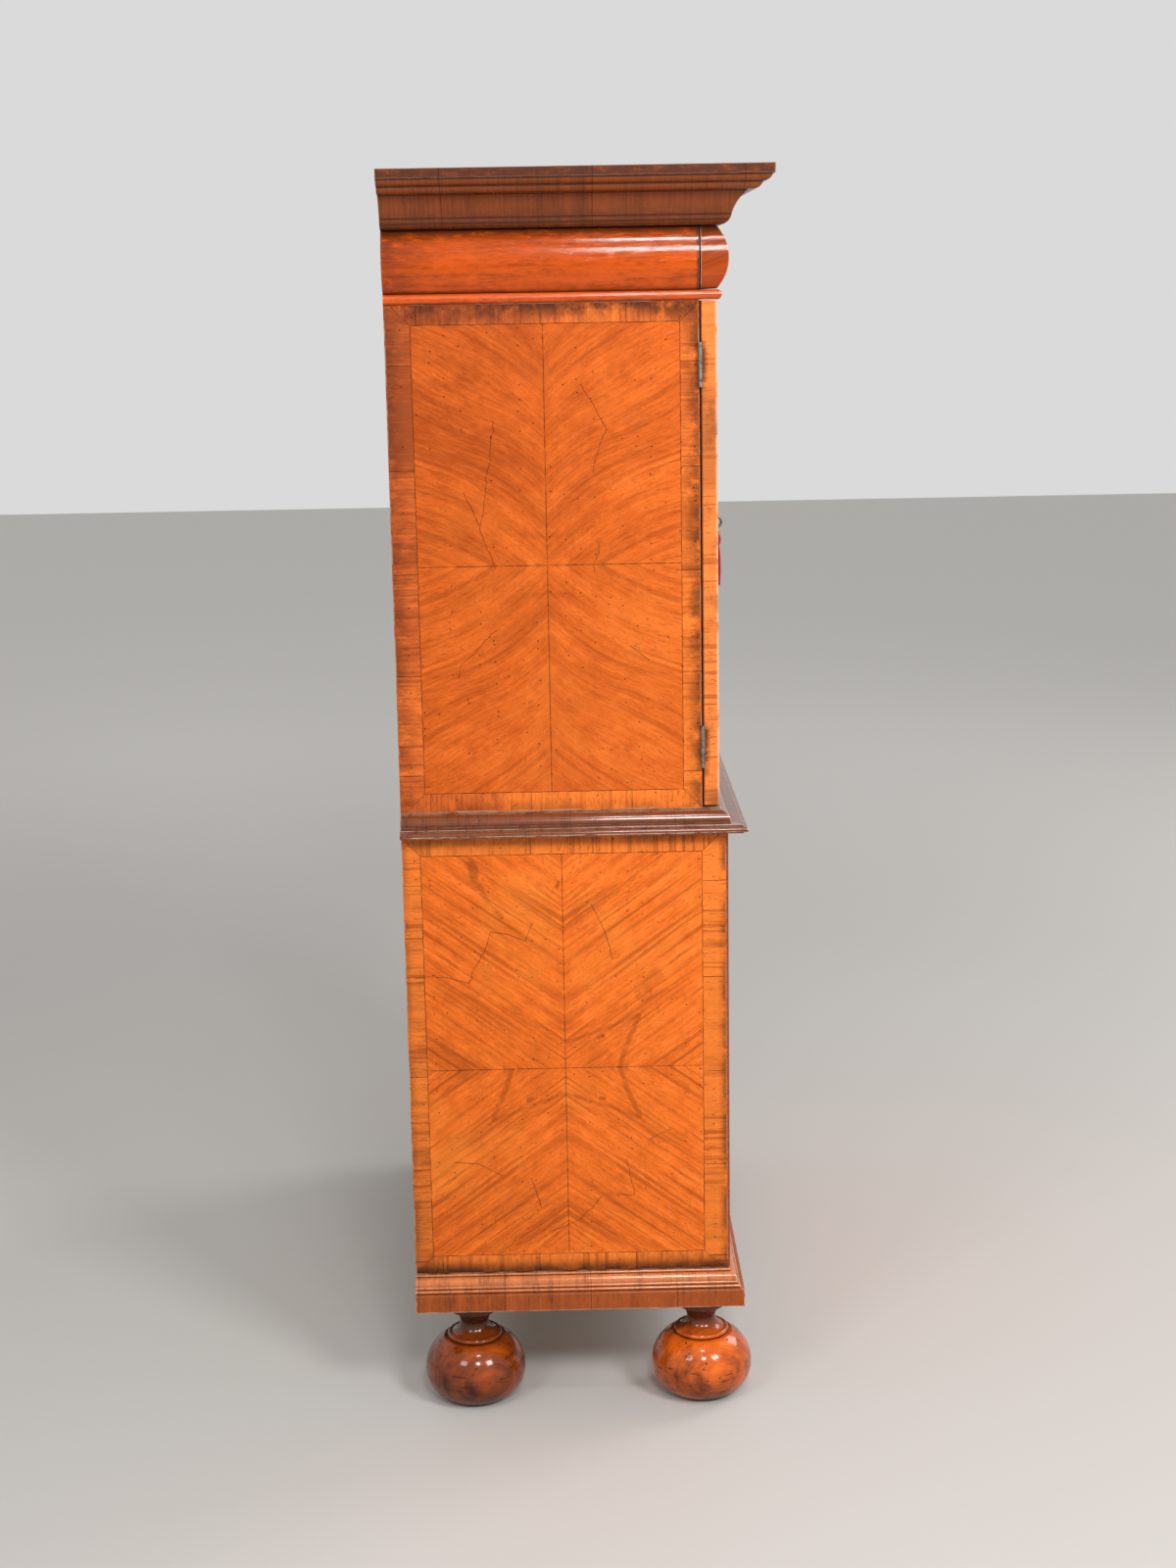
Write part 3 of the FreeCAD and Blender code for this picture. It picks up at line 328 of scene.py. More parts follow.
class Finish(Shading):
    """One procedural material"""

    def __init__(self, name, **constants):
        self.material = bpy.data.materials.new(name)
        self.material.use_nodes = True
        super().__init__(self.material.node_tree)
        self.shader = self.tree.nodes["Principled BSDF"]
        for label, value in constants.items():
            self.shader.inputs[label.replace("_", " ")].default_value = value
        self.x, self.y, self.z = self.parts(self.node("ShaderNodeTexCoord", output="Object"))
        self.nx, self.ny, self.nz = self.parts(self.node("ShaderNodeTexCoord", output="Normal"))

    def nothing(self):
        return self.x * 0.0

    def parts(self, vector):
        first = self.node("ShaderNodeSeparateXYZ", inputs={0: vector})
        return [Value(self, socket) for socket in first.socket.node.outputs]

    def vector(self, x, y, z):
        return self.node("ShaderNodeCombineXYZ", inputs={0: x, 1: y, 2: z})

    def arrow(self, operation, first, second, output=0):
        options = {"operation": operation}
        return self.node("ShaderNodeVectorMath", options, {0: first, 1: second}, output)

    def noise(self, x, y, z, detail=2.0, roughness=0.5):
        inputs = {"Vector": self.vector(x, y, z), "Scale": 1.0, "Detail": detail,
                  "Roughness": roughness}
        return self.node("ShaderNodeTexNoise", {"noise_dimensions": "3D"}, inputs)

    def chance(self, number):
        return self.node("ShaderNodeTexWhiteNoise", {"noise_dimensions": "1D"}, {"W": number})

    def ease(self, value, low, high):
        inputs = {"Value": value, "From Min": low, "From Max": high}
        return self.node("ShaderNodeMapRange", {"interpolation_type": "SMOOTHSTEP"}, inputs)

    def between(self, value, start, full, ebb, end):
        """Rises from start to full and falls from ebb to end"""
        return self.ease(value, start, full) * self.ease(value, end, ebb)

    def line(self, distance, half):
        return 1 - self.ease(abs(distance), half * 0.5, half * 1.5)

    def seams(self, step, piece, half):
        """Lines between pieces of one length, where step counts the pieces"""
        return self.line((abs(step.fract() - 0.5) - 0.5) * piece, half)

    def ramp(self, value, stops):
        return self.node("ShaderNodeValToRGB", {"stops": stops}, {0: value})

    def mix(self, factor, first, second):
        inputs = {0: factor, 6: first, 7: second}
        return self.node("ShaderNodeMix", {"data_type": "RGBA"}, inputs, output=2)

    def specks(self, a, b, cell, radius, share):
        """Round specks in a share of the cells"""
        options = {"voronoi_dimensions": "2D"}
        inputs = {"Vector": self.vector(a / cell, b / cell, 0.0), "Scale": 1.0}
        near = self.node("ShaderNodeTexVoronoi", options, inputs, output="Distance")
        shade = self.node("ShaderNodeTexVoronoi", options, inputs, output="Color")
        pick = self.parts(shade)[0] < share
        return (1 - self.ease(near, radius / cell * 0.6, radius / cell)) * pick

    def stroke(self, place, points, half):
        """A line drawn through points in the plane of a face"""
        nearest = None
        for first, second in zip(points, points[1:]):
            run = Vector(second + (0.0,)) - Vector(first + (0.0,))
            offset = self.arrow("SUBTRACT", place, first + (0.0,))
            share = self.arrow("DOT_PRODUCT", offset, tuple(run / run.length_squared), "Value")
            share = share.maths("ADD", 0.0, clamp=True)
            along = self.arrow("MULTIPLY", tuple(run), self.vector(share, share, share))
            beside = self.arrow("SUBTRACT", offset, along)
            away = self.node("ShaderNodeVectorMath", {"operation": "LENGTH"}, {0: beside}, "Value")
            nearest = away if nearest is None else nearest.least(away)
        return self.line(nearest, half)

    def strokes(self, place, rows):
        """The strongest of several strokes, each with its half width and depth"""
        strongest = self.nothing()
        for points, half, depth in rows:
            strongest = strongest.most(self.stroke(place, points, half) * depth)
        return strongest

    def edges(self, radius):
        """How far the surface normal turns within a radius: bright on sharp edges"""
        round_normal = self.node("ShaderNodeBevel", {"samples": 4}, {"Radius": radius})
        true_normal = self.node("ShaderNodeNewGeometry", output="Normal")
        return 1 - self.arrow("DOT_PRODUCT", round_normal, true_normal, "Value")

    def corners(self, reach):
        """How enclosed the surface is: bright in quirks and corners"""
        options = {"samples": 6}
        return 1 - self.node("ShaderNodeAmbientOcclusion", options, {"Distance": reach}, "AO")

    def done(self, base, roughness, height=None, depth=0.001, coat=None):
        self.feed(self.shader.inputs["Base Color"], base)
        self.feed(self.shader.inputs["Roughness"], roughness)
        if coat is not None:
            self.feed(self.shader.inputs["Coat Weight"], coat)
        if height is not None:
            inputs = {"Strength": 1.0, "Distance": depth, "Height": height}
            self.feed(self.shader.inputs["Normal"], self.node("ShaderNodeBump", inputs=inputs))
        return self.material


def tint(shade, factor):
    factors = factor if isinstance(factor, tuple) else (factor,) * 3
    return tuple(min(1.0, part * share) for part, share in zip(shade, factors))


def wear(node_name, material):
    mesh = NODES[node_name].data
    mesh.materials.clear()
    mesh.materials.append(material)


class Grain:
    """Wood figure along and across the fibres, shared by the veneers and boards"""

    def __init__(self, finish, along, across, seed, bend=0.012, broad=48.0, streaks=250.0,
                 lines=170.0):
        sway = finish.noise(along * 4.0, across * 9.0, seed, 2.0) - 0.5
        wander = finish.noise(along * 18.0, across * 34.0, seed, 2.0) - 0.5
        line = across + sway * bend + wander * (bend * 0.22)
        wide = finish.noise(along * 3.0, line * broad, seed, 2.0, 0.5)
        self.streak = finish.noise(along * 9.0, line * streaks, seed, 2.0, 0.6)
        mottle = finish.noise(along * 34.0, line * 70.0, seed + 5.0, 4.0, 0.62)
        dashes = finish.noise(along * 80.0, line * 330.0, seed + 9.0, 2.0, 0.6)
        year = finish.noise(along * 3.0, line * lines, seed + 2.0, 1.0)
        zone = finish.noise(along * 7.0, line * 16.0, seed + 3.0, 2.0)
        self.years = finish.ease(year, 0.47, 0.36) * finish.ease(zone, 0.36, 0.58)
        self.pores = finish.ease(dashes * 0.75 + self.streak * 0.25, 0.55, 0.66)
        self.tone = wide * 0.20 + self.streak * 0.30 + mottle * 0.24 + dashes * 0.26


class Layout:
    """A veneered face in its own plane: quartered panel, crossbanding and joints"""

    def __init__(self, finish, u, v, panel, joint, sizes, figure, seed):
        low_u, high_u, low_v, high_v = panel
        slope, fan, knees = figure
        side_out = (low_u - u).most(u - high_u)
        end_out = (low_v - v).most(v - high_v)
        self.in_band = side_out.most(end_out) > 0.0
        in_panel = 1 - self.in_band
        on_side = side_out > end_out
        quarter_u = abs(u - joint[0])
        quarter_v = abs(v - joint[1])
        self.quarter = finish.vector(quarter_u, quarter_v, 0.0)
        turn = math.radians(slope)
        fanned = quarter_u - quarter_u * quarter_u * fan
        panel_along = quarter_u * math.cos(turn) + quarter_v * math.sin(turn)
        panel_across = quarter_v * math.cos(turn) - fanned * math.sin(turn)
        for at_u, at_v, reach, push in knees:
            away_u = (quarter_u - at_u) / reach
            away_v = (quarter_v - at_v) / reach
            near = away_u * away_u + away_v * away_v
            panel_across = panel_across + push / (1.0 + near * near)
        band_along = on_side * u + (1 - on_side) * v
        band_across = on_side * v + (1 - on_side) * u
        step = band_across / sizes.piece + finish.chance(on_side + seed) * 0.5
        number = step.floor() + on_side * 17.0
        self.piece_tone = finish.chance(number + seed) - 0.5
        self.first_leaf = (u > joint[0]) * (v > joint[1])
        leaf = (u > joint[0]) + (v > joint[1]) * 2.0
        self.leaf_tone = finish.chance(leaf + seed * 3.0) - 0.5
        self.along = in_panel * panel_along + self.in_band * band_along
        self.across = in_panel * panel_across + self.in_band * band_across
        self.shift = self.in_band * (number * 1.37 + 5.0) + seed
        cuts = finish.line(side_out.most(end_out), sizes.joint)
        cuts = cuts.most(finish.line(side_out - end_out, sizes.joint) * self.in_band)
        cuts = cuts.most(finish.seams(step, sizes.piece, sizes.joint) * self.in_band)
        cuts = cuts.most(finish.line(quarter_u, sizes.joint) * in_panel)
        self.joints = cuts.most(finish.line(quarter_v, sizes.joint) * in_panel)


def veneered(name, face, shown, panel, joint, seed, figure, bright, border_darkening, band_mid, edge_mid,
             painted_light_slope=(0.0, 0.0), gilt=0.45, cloudy=(5.0, 0.06), streaked=0.52, marks=None):
    """Quartered and crossbanded veneer on a show face, plain walnut on the edges and back"""
    tones = settings().tones
    finish = Finish(name, Coat_Roughness=0.25, Specular_IOR_Level=0.12)
    if face[0] == "x":
        u, through, facing = finish.y, finish.x, finish.nx
    else:
        u, through, facing = finish.x, finish.y, finish.ny
    v = finish.z
    show = (facing * face[1]) > 0.5
    back = (facing * face[1]) < -0.5
    edge = 1 - show - back
    layout = Layout(finish, u, v, panel, joint, settings().veneers, figure, seed)
    on_end = abs(finish.nz) > 0.5
    run = on_end * u + (1 - on_end) * v
    along = show * layout.along + edge * through + back * v
    across = show * layout.across + edge * run + back * u
    shift = layout.shift * show + seed + edge * 3.0 + back * 7.0
    grain = Grain(finish, along, across, shift, bend=0.008)
    low_u, high_u, low_v, high_v = shown
    drift = finish.noise(u * cloudy[0], v * cloudy[0], seed + 0.5, 3.0) - 0.5
    # Painted light: the face grows lighter towards its front edge by the first slope and towards
    # its top by the second, darker where a slope is negative, twice as strong in the bands
    painted_light = ((0.5 - finish.ease(u, low_u, high_u)) * painted_light_slope[0]
             + (finish.ease(v, low_v, high_v) - 0.5) * painted_light_slope[1])
    painted_light = painted_light * (1 + layout.in_band)
    laid_tone_and_light = layout.in_band * layout.piece_tone * 0.09 + layout.leaf_tone * 0.02 + painted_light
    tone = grain.tone + show * laid_tone_and_light + drift * cloudy[1]
    panel_wood = finish.ramp(tone, [(0.36, tint(tones.figure_dark, bright)),
                                    (0.44, tint(tint(tones.figure_mid, 0.76), bright)),
                                    (0.51, tint(tones.figure_mid, bright)),
                                    (0.60, tint(tones.figure_light, bright))])
    banding = finish.ramp(tone, [(0.34, tint(band_mid, 0.48)), (0.46, tint(band_mid, 0.90)),
                                 (0.62, tint(tones.band_light, 1.20))])
    edging = finish.ramp(tone, [(0.34, tint(edge_mid, 0.50)), (0.46, tint(edge_mid, 0.90)),
                                (0.62, tint(edge_mid, 1.15))])
    # Golden patches of the figure, partly a painted sheen
    golden_patches_and_sheen = finish.ease(finish.noise(u * 9.0, v * 7.0, seed + 1.5, 3.0, 0.6), 0.50, 0.70)
    panel_wood = finish.mix(golden_patches_and_sheen * gilt, panel_wood, tint(tones.figure_gold, bright))
    base = finish.mix(layout.in_band, panel_wood, banding)
    base = finish.mix(edge, base, edging)
    base = finish.mix(grain.years * streaked, base, tint(tones.figure_dark, 0.60))
    base = finish.mix(grain.pores * 0.52, base, tint(tones.figure_dark, 0.50))
    smoke = finish.noise(u * 26.0, v * 26.0, seed, 5.0, 0.68)
    if marks:
        base = marks(finish, layout, u, v, smoke, base, show)
    # Darkening along the borders of the show face: dark wax, and painted shadow under the moulding
    # at the top
    borders = (u - low_u, high_u - u, v - low_v, high_v - v)
    darkening = finish.nothing()
    for border, (depth, reach) in zip(borders, border_darkening):
        darkening = darkening.most((1 - finish.ease(border, 0.0, reach)) * depth)
    blotch = finish.noise(run * 16.0, through * 20.0, seed + 4.0, 4.0, 0.65)
    blotch = finish.ease(blotch, 0.50, 0.72) * 0.45
    darkening = darkening * finish.ease(smoke, 0.30, 0.60) * show + blotch * edge
    base = finish.mix(darkening, base, tones.grime_and_shade)
    broken = finish.ease(finish.noise(u * 60.0, v * 60.0, seed, 2.0), 0.30, 0.62)
    cracks = layout.joints * show * (broken * 0.6 + 0.4)
    holes = finish.specks(u, v, cell=0.019, radius=0.0012, share=0.20) * show
    dark = cracks.most(holes)
    base = finish.mix(dark * 0.88, base, tones.grime_and_shade)
    nearest = (borders[0].least(borders[1])).least(borders[2].least(borders[3]))
    # A pale line along the border arris: painted highlight and rubbed veneer
    pale_edges = finish.line(nearest - 0.0005, 0.0010) * finish.ease(smoke, 0.44, 0.58) * show
    base = finish.mix(pale_edges * 0.35, base, tones.worn_and_highlight)
    rough = 0.40 + grain.streak * 0.12 + darkening * 0.15 + dark * 0.2 + back * 0.40
    height = (grain.streak * 0.12 - grain.pores * 0.20 - grain.years * 0.12 - dark * 0.9
              + drift * 0.8)
    coat = (0.05 - darkening * 0.03) * (1 - back)
    return finish.done(base, rough, height, depth=0.0006, coat=coat)


def hairlines(finish, u, v, smoke, base, show, cracks):
    """Hairline cracks in the veneer"""
    place = finish.vector(u + (smoke - 0.5) * 0.016, v + (smoke - 0.5) * 0.010, 0.0)
    lines = finish.strokes(place, [(points, HAIR_HALF, 1.0) for points in cracks])
    lines = lines * finish.ease(smoke, 0.26, 0.48) * show * 0.68
    return finish.mix(lines, base, settings().tones.grime_and_shade)


def chest_marks(finish, layout, u, v, smoke, base, show):
    """A knee in three of the four leaves, smudges, darker along the foot and hairline cracks"""
    tones = settings().tones
    dark = tint(tones.figure_dark, 0.5)
    waver = finish.vector((smoke - 0.5) * 0.010, (smoke - 0.5) * 0.012, 0.0)
    knee = finish.strokes(finish.arrow("ADD", layout.quarter, waver), CHEST_KNEES)
    leaves = (1 - layout.first_leaf) * show
    base = finish.mix(knee * finish.ease(smoke, 0.25, 0.50) * leaves, base, dark)
    place = finish.vector(u + (smoke - 0.5) * 0.020, v + (smoke - 0.5) * 0.012, 0.0)
    smudge = finish.strokes(place, CHEST_SMUDGES)
    base = finish.mix(smudge * finish.ease(smoke, 0.3, 0.55) * show, base, tint(dark, 0.6))
    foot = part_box("base_front")[1].z
    # Darker along the foot: a line and a band above the base moulding
    seam = finish.ease(v, foot + 0.006, foot + 0.001) * 0.9
    haze = finish.ease(v + (smoke - 0.5) * 0.02, foot + 0.022, foot) * 0.6
    base = finish.mix(seam.most(haze) * show, base, tones.grime_and_shade)
    return hairlines(finish, u, v, smoke, base, show, CHEST_CRACKS)


def door_marks(finish, layout, u, v, smoke, base, show):
    """Stains and splits on a door's edges, a pale arris, and painted shade in its gaps"""
    tones = settings().tones
    low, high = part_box("door_left")
    edge = abs(finish.nx) > 0.5
    red = finish.between(v, *EDGE_STAIN)
    base = finish.mix(red * edge * 0.55, base, tint(tones.edge_mid, 0.42))
    splits = finish.ease(finish.noise(finish.y * 40.0, v * 520.0, 3.0, 3.0, 0.6), 0.60, 0.72)
    base = finish.mix(splits * edge * 0.60, base, tones.grime_and_shade)
    # Darker towards the foot of the edge
    foot = finish.ease(v, low.z + 0.035, low.z) * finish.ease(smoke, 0.35, 0.60)
    # Painted shade: a dark line along the back arris, in the gap against the case
    hollow = finish.line(high.y - finish.y, 0.0016)
    base = finish.mix((foot * 0.6).most(hollow * 0.8) * edge, base, tones.grime_and_shade)
    # Darker round the hinges, near the back of the edge
    upper, lower = (finish.ease(abs(v - hinge), 0.040, 0.026) for hinge in HINGE_HEIGHTS)
    inner = finish.ease(high.y - finish.y, 0.011, 0.003)
    halo = upper.most(lower) * inner * finish.ease(smoke, 0.36, 0.55)
    base = finish.mix(halo * edge * 0.8, base, tones.grime_and_shade)
    # A pale line on the front arris: painted highlight and rubbed veneer
    arris = finish.line(finish.y - low.y, 0.0022) * finish.ease(smoke, 0.36, 0.50)
    base = finish.mix(arris * edge * 0.8, base, tones.worn_and_highlight)
    # Painted shade where the doors meet and on the back face near the hinge edge
    meeting_shade = (abs(finish.x) < 0.01) * edge
    hinge_side_shade = finish.ease(abs(finish.x), -low.x - 0.016, -low.x - 0.006) * (finish.ny > 0.5)
    return finish.mix(meeting_shade.most(hinge_side_shade) * 0.85, base, tones.grime_and_shade)


def cabinet_marks(finish, layout, u, v, smoke, base, show):
    """Hairline cracks, a dull shade near the middle joint, brown stains in the front band, painted
    arris highlight
    """
    tones = settings().tones
    joint_u, joint_v = CABINET_JOINT
    darkening = finish.ease(v, joint_v + 0.285, joint_v + 0.320).most(0.35)
    for heights in BAND_STAINS:
        darkening = darkening.most(finish.between(v, *(joint_v + height for height in heights)))
    in_front = layout.in_band * (u < -0.10) * show
    darkening = darkening * finish.ease(smoke, 0.32, 0.58) * in_front
    base = finish.mix(darkening * 0.55, base, tint(tones.figure_dark, 0.55))
    shade = finish.ease(abs(u - joint_u), 0.14, 0.0) * finish.ease(smoke, 0.35, 0.65)
    shade = shade * 0.30 * show * (1 - layout.in_band)
    base = finish.mix(shade, base, tint(tones.figure_dark, 0.8))
    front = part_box("cabinet_side_left")[0].y
    # Painted highlight: a pale line along the front arris of the side
    arris = finish.line(u - front, 0.0008) * finish.ease(smoke, 0.40, 0.54)
    base = finish.mix(arris * show * 0.6, base, tones.edge_mid)
    return hairlines(finish, u, v, smoke, base, show, CABINET_CRACKS)


def moulded(name, run, seed, mid, dark, cross=True, piece=0.13, gloss=0.08, pale_edge_share=0.75,
            quirk_share=0.85, shine=0.30, upper=None, soot_and_shade=(), shade_lines=(), figure=1.0, polish=0.17,
            grain_sizes=(0.006, 60.0, 330.0)):
    """Moulding with its grain across or along the run, pale edges and painted shade in the quirks

    upper gives a height with the colour and coat above it. A soot_and_shade row, for soot and
    for painted shade, gives the way it goes, "z" or "run", where it starts and is full, and its
    depth."""
    tones = settings().tones
    finish = Finish(name, Coat_Roughness=0.10, Specular_IOR_Level=shine)
    if run == "x":
        length_way, out_way = finish.x, finish.y
    else:
        length_way, out_way = finish.y, finish.x
    step = length_way / piece + seed * 0.37
    number = step.floor()
    if cross:
        grain = Grain(finish, finish.z + out_way, length_way, number * 1.9 + seed,
                      bend=0.006, broad=60.0, streaks=420.0)
        tone = grain.tone + (finish.chance(number + seed) - 0.5) * 0.05
        cut = finish.seams(step, piece, 0.0005)
    else:
        grain = Grain(finish, length_way, finish.z + out_way * 0.35, seed, *grain_sizes)
        tone = grain.tone
        cut = finish.nothing()
    tone = (tone - 0.5) * figure + 0.5
    base = finish.ramp(tone, [(0.33, dark), (0.50, mid), (0.67, tint(mid, 1.45))])
    coat = gloss
    if upper:
        above_z, above_mid, above_coat = upper
        above = finish.ramp(tone, [(0.37, tint(above_mid, 0.45)), (0.50, above_mid),
                                   (0.63, tint(above_mid, 1.3))])
        over = finish.ease(finish.z, above_z - 0.001, above_z + 0.001)
        base = finish.mix(over, base, above)
        coat = over * (above_coat - gloss) + gloss
    base = finish.mix(grain.pores * (0.30 if cross else 0.10), base, tones.grime_and_shade)
    patches = finish.noise(length_way * 45.0, finish.z * 120.0, seed, 4.0, 0.65)
    # Rows of soot and of painted shade
    for place, start, full, depth in soot_and_shade:
        way = finish.z if place == "z" else length_way
        soot_and_shade_row = finish.ease(way, start, full) * finish.ease(patches, 0.25, 0.55) * depth
        base = finish.mix(soot_and_shade_row, base, tones.grime_and_shade)
    # Dark lines painted as shade at the steps of the profile
    for shade_line in shade_lines:
        base = finish.mix(finish.line(finish.z - shade_line, 0.0012) * 0.8, base, tones.grime_and_shade)
    # Pale edges: painted highlight along the arrises, with rubbed wood
    pale_edges = finish.ease(finish.edges(0.0022), 0.012, 0.11) * finish.ease(patches, 0.36, 0.56)
    pale_edges = pale_edges * pale_edge_share
    # Painted shade in the quirks and corners, with dark wax
    quirk_wax_and_shade = finish.ease(finish.corners(0.008), 0.20, 0.58) * quirk_share
    base = finish.mix(pale_edges, base, tones.worn_and_highlight)
    base = finish.mix(quirk_wax_and_shade, base, tones.grime_and_shade)
    base = finish.mix(cut * 0.5, base, tones.grime_and_shade)
    rough = polish + patches * (polish * 0.6) + quirk_wax_and_shade * 0.2
    height = grain.streak * 0.14 - grain.pores * 0.20 - cut * 0.8 + patches * 0.25
    return finish.done(base, rough, height, depth=0.0006, coat=coat)


def turned(name, seed, mid, low, high):
    """Turned and polished walnut with painted shade on neck, sole and grooves, dents and worm holes
    """
    tones = settings().tones
    finish = Finish(name, Coat_Roughness=0.11, Specular_IOR_Level=0.05)
    centre = (low + high) / 2
    side = finish.x - centre.x
    deep = finish.y - centre.y
    grain = Grain(finish, finish.z, side + deep * 0.35, seed, bend=0.03, broad=45.0, streaks=230.0)
    cloud = finish.noise(side * 16.0, deep * 16.0, finish.z * 22.0, 3.0, 0.6)
    base = finish.ramp(grain.tone * 0.5 + cloud * 0.5,
                       [(0.37, tint(mid, 0.10)), (0.46, tint(mid, 0.62)),
                        (0.56, tint(mid, 1.40)), (0.65, tint(mid, 2.4))])
    base = finish.mix(grain.pores * 0.35, base, tones.grime_and_shade)
    angle = deep.maths("ARCTAN2", side)
    holes = finish.specks(angle * 0.05, finish.z, cell=0.013, radius=0.0012, share=0.20)
    dents = finish.noise(angle * 1.6, finish.z * 160.0, seed + 2.0, 3.0, 0.6)
    scuffs = finish.ease(dents, 0.57, 0.67) * finish.ease(cloud, 0.60, 0.44)
    # Painted shade in the grooves, with dark wax
    quirk_wax_and_shade = finish.ease(finish.corners(0.014), 0.28, 0.66)
    # Painted shade towards the sole
    sole = finish.ease(finish.z, 0.045, 0.0) * 0.45
    # Painted shadow on the neck under the base
    neck = finish.ease(finish.z, high.z - 0.086, high.z - 0.058) * 0.88
    dark = holes.most(quirk_wax_and_shade * 0.9).most(scuffs * 0.85).most(sole)
    base = finish.mix(dark.most(neck), base, tones.grime_and_shade)
    pale_edges = finish.ease(finish.edges(0.0018), 0.03, 0.2) * 0.35
    base = finish.mix(pale_edges, base, tint(mid, 2.4))
    rough = 0.20 + cloud * 0.10 + dark * 0.25
    height = cloud * 0.35 - holes * 1.2 - scuffs * 0.8 - grain.pores * 0.12
    return finish.done(base, rough, height, depth=0.0008, coat=0.72 - dark * 0.30)


def plain_board(name, way, seed, mid, plank=None):
    """Plain boards with straight grain, side by side where a plank's width is given"""
    tones = settings().tones
    finish = Finish(name)
    x, y, z = finish.x, finish.y, finish.z
    along, across = {"x": (x, y + z), "y": (y, x + z), "z": (z, x + y)}[way]
    joint = number = finish.nothing()
    if plank:
        step = x / plank
        number = step.floor()
        joint = finish.seams(step, plank, 0.0011)
    grain = Grain(finish, along, across, seed + number * 2.3,
                  bend=0.02, broad=24.0, streaks=130.0, lines=60.0)
    tone = grain.tone + (finish.chance(number + seed) - 0.5) * 0.16
    base = finish.ramp(tone, [(0.30, tint(mid, 0.55)), (0.50, mid), (0.72, tint(mid, 1.30))])
    base = finish.mix(grain.years * 0.35, base, tint(mid, 0.50))
    base = finish.mix(grain.pores * 0.35, base, tint(mid, 0.35))
    # Painted shade with grime in the corners of the boards
    grime_and_shade = finish.ease(finish.corners(0.03), 0.35, 0.9)
    base = finish.mix((grime_and_shade * 0.6).most(joint * 0.9), base, tones.grime_and_shade)
    rough = 0.55 + grain.streak * 0.15
    return finish.done(base, rough, grain.streak * 0.2 - grain.pores * 0.3 - joint, depth=0.0007)


def metal(name, mid, seed, smoothest, roughest):
    """Worn cast or wrought metal with darker hollows and rubbed edges"""
    finish = Finish(name, Metallic=1.0)
    cloud = finish.noise(finish.x * 160.0, finish.y * 160.0, finish.z * 160.0 + seed, 4.0, 0.62)
    base = finish.ramp(cloud, [(0.30, tint(mid, 0.35)), (0.52, mid), (0.74, tint(mid, 1.35))])
    pale_edges = finish.ease(finish.edges(0.0008), 0.03, 0.2)
    base = finish.mix(pale_edges * 0.6, base, tint(mid, 1.9))
    hollow = finish.ease(finish.corners(0.006), 0.4, 0.9)
    base = finish.mix(hollow * 0.8, base, tint(mid, 0.12))
    rough = smoothest + cloud * (roughest - smoothest) + hollow * 0.2
    return finish.done(base, rough, cloud, depth=0.0002)


def thread_finish(name, mid):
    """Silk thread with a fine twist"""
    finish = Finish(name, Sheen_Weight=0.35, Sheen_Roughness=0.4)
    twist = finish.noise(finish.x * 1800.0, finish.y * 1800.0, finish.z * 300.0, 2.0)
    cloud = finish.noise(finish.x * 240.0, finish.y * 240.0, finish.z * 60.0, 2.0)
    base = finish.ramp(twist * 0.6 + cloud * 0.4,
                       [(0.32, tint(mid, 0.35)), (0.50, mid), (0.68, tint(mid, 1.6))])
    return finish.done(base, 0.55 + twist * 0.2, twist, depth=0.0003)


def side_shown(side, below, above):
    """The part of a case side that shows between two mouldings"""
    low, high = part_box(side)
    return low.y, high.y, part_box(below)[1].z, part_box(above)[0].z


def front_layout(front, band):
    """A front's shown face, the panel inside its crossbanding and the crossing of its joints"""
    low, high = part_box(front)
    shown = (low.x, high.x, low.z, high.z)
    panel = (low.x + band, high.x - band, low.z + band, high.z - band)
    return shown, panel, ((low.x + high.x) / 2, (low.z + high.z) / 2)


class VENEERS_OT_lay(bpy.types.Operator):
    """Lay the quartered veneers on the sides, doors and drawer fronts"""

    bl_idname = "cabinet.lay_veneers"
    bl_label = "Lay veneers"

    def execute(self, context):
        tones = settings().tones
        sizes = settings().veneers
        chest_shown = side_shown("chest_side_left", "base_front", "waist_front")
        cabinet_shown = side_shown("cabinet_side_left", "waist_front", "astragal")
        for side, way, seed in (("left", -1.0, 2.0), ("right", 1.0, 11.0)):
            near = side == "left"
            wear("chest_side_" + side, veneered(
                "chest_veneer_" + side, ("x", way), chest_shown, CHEST_PANEL, CHEST_JOINT, seed,
                CHEST_FIGURE, CHEST_BRIGHT, CHEST_BORDER_DARKENING, tones.band_light, tones.figure_mid,
                painted_light_slope=(0.05, 0.03), marks=chest_marks if near else None))
            wear("cabinet_side_" + side, veneered(
                "cabinet_veneer_" + side, ("x", way), cabinet_shown, CABINET_PANEL, CABINET_JOINT,
                seed + 4.0, CABINET_FIGURE, CABINET_BRIGHT, CABINET_BORDER_DARKENING, tones.band_dark,
                tones.figure_mid, painted_light_slope=(0.09, -0.05), gilt=0.15, cloudy=(13.0, 0.15), streaked=0.36,
                marks=cabinet_marks if near else None))
            wear("door_" + side, veneered(
                "door_veneer_" + side, ("y", -1.0), *front_layout("door_" + side, sizes.band),
                seed + 20.0, CABINET_FIGURE, FRONT_BRIGHT, FRONT_BORDER_DARKENING, tones.band_light,
                tones.edge_mid, marks=door_marks))
        for index, place in enumerate(("low", "mid", "left", "right")):
            name = "drawer_%s_front" % place
            wear(name, veneered(
                "drawer_veneer_" + place, ("y", -1.0), *front_layout(name, sizes.drawer_band),
                40.0 + index, DRAWER_FIGURE, FRONT_BRIGHT, FRONT_BORDER_DARKENING, tones.band_light,
                tones.edge_mid))
        return {"FINISHED"}


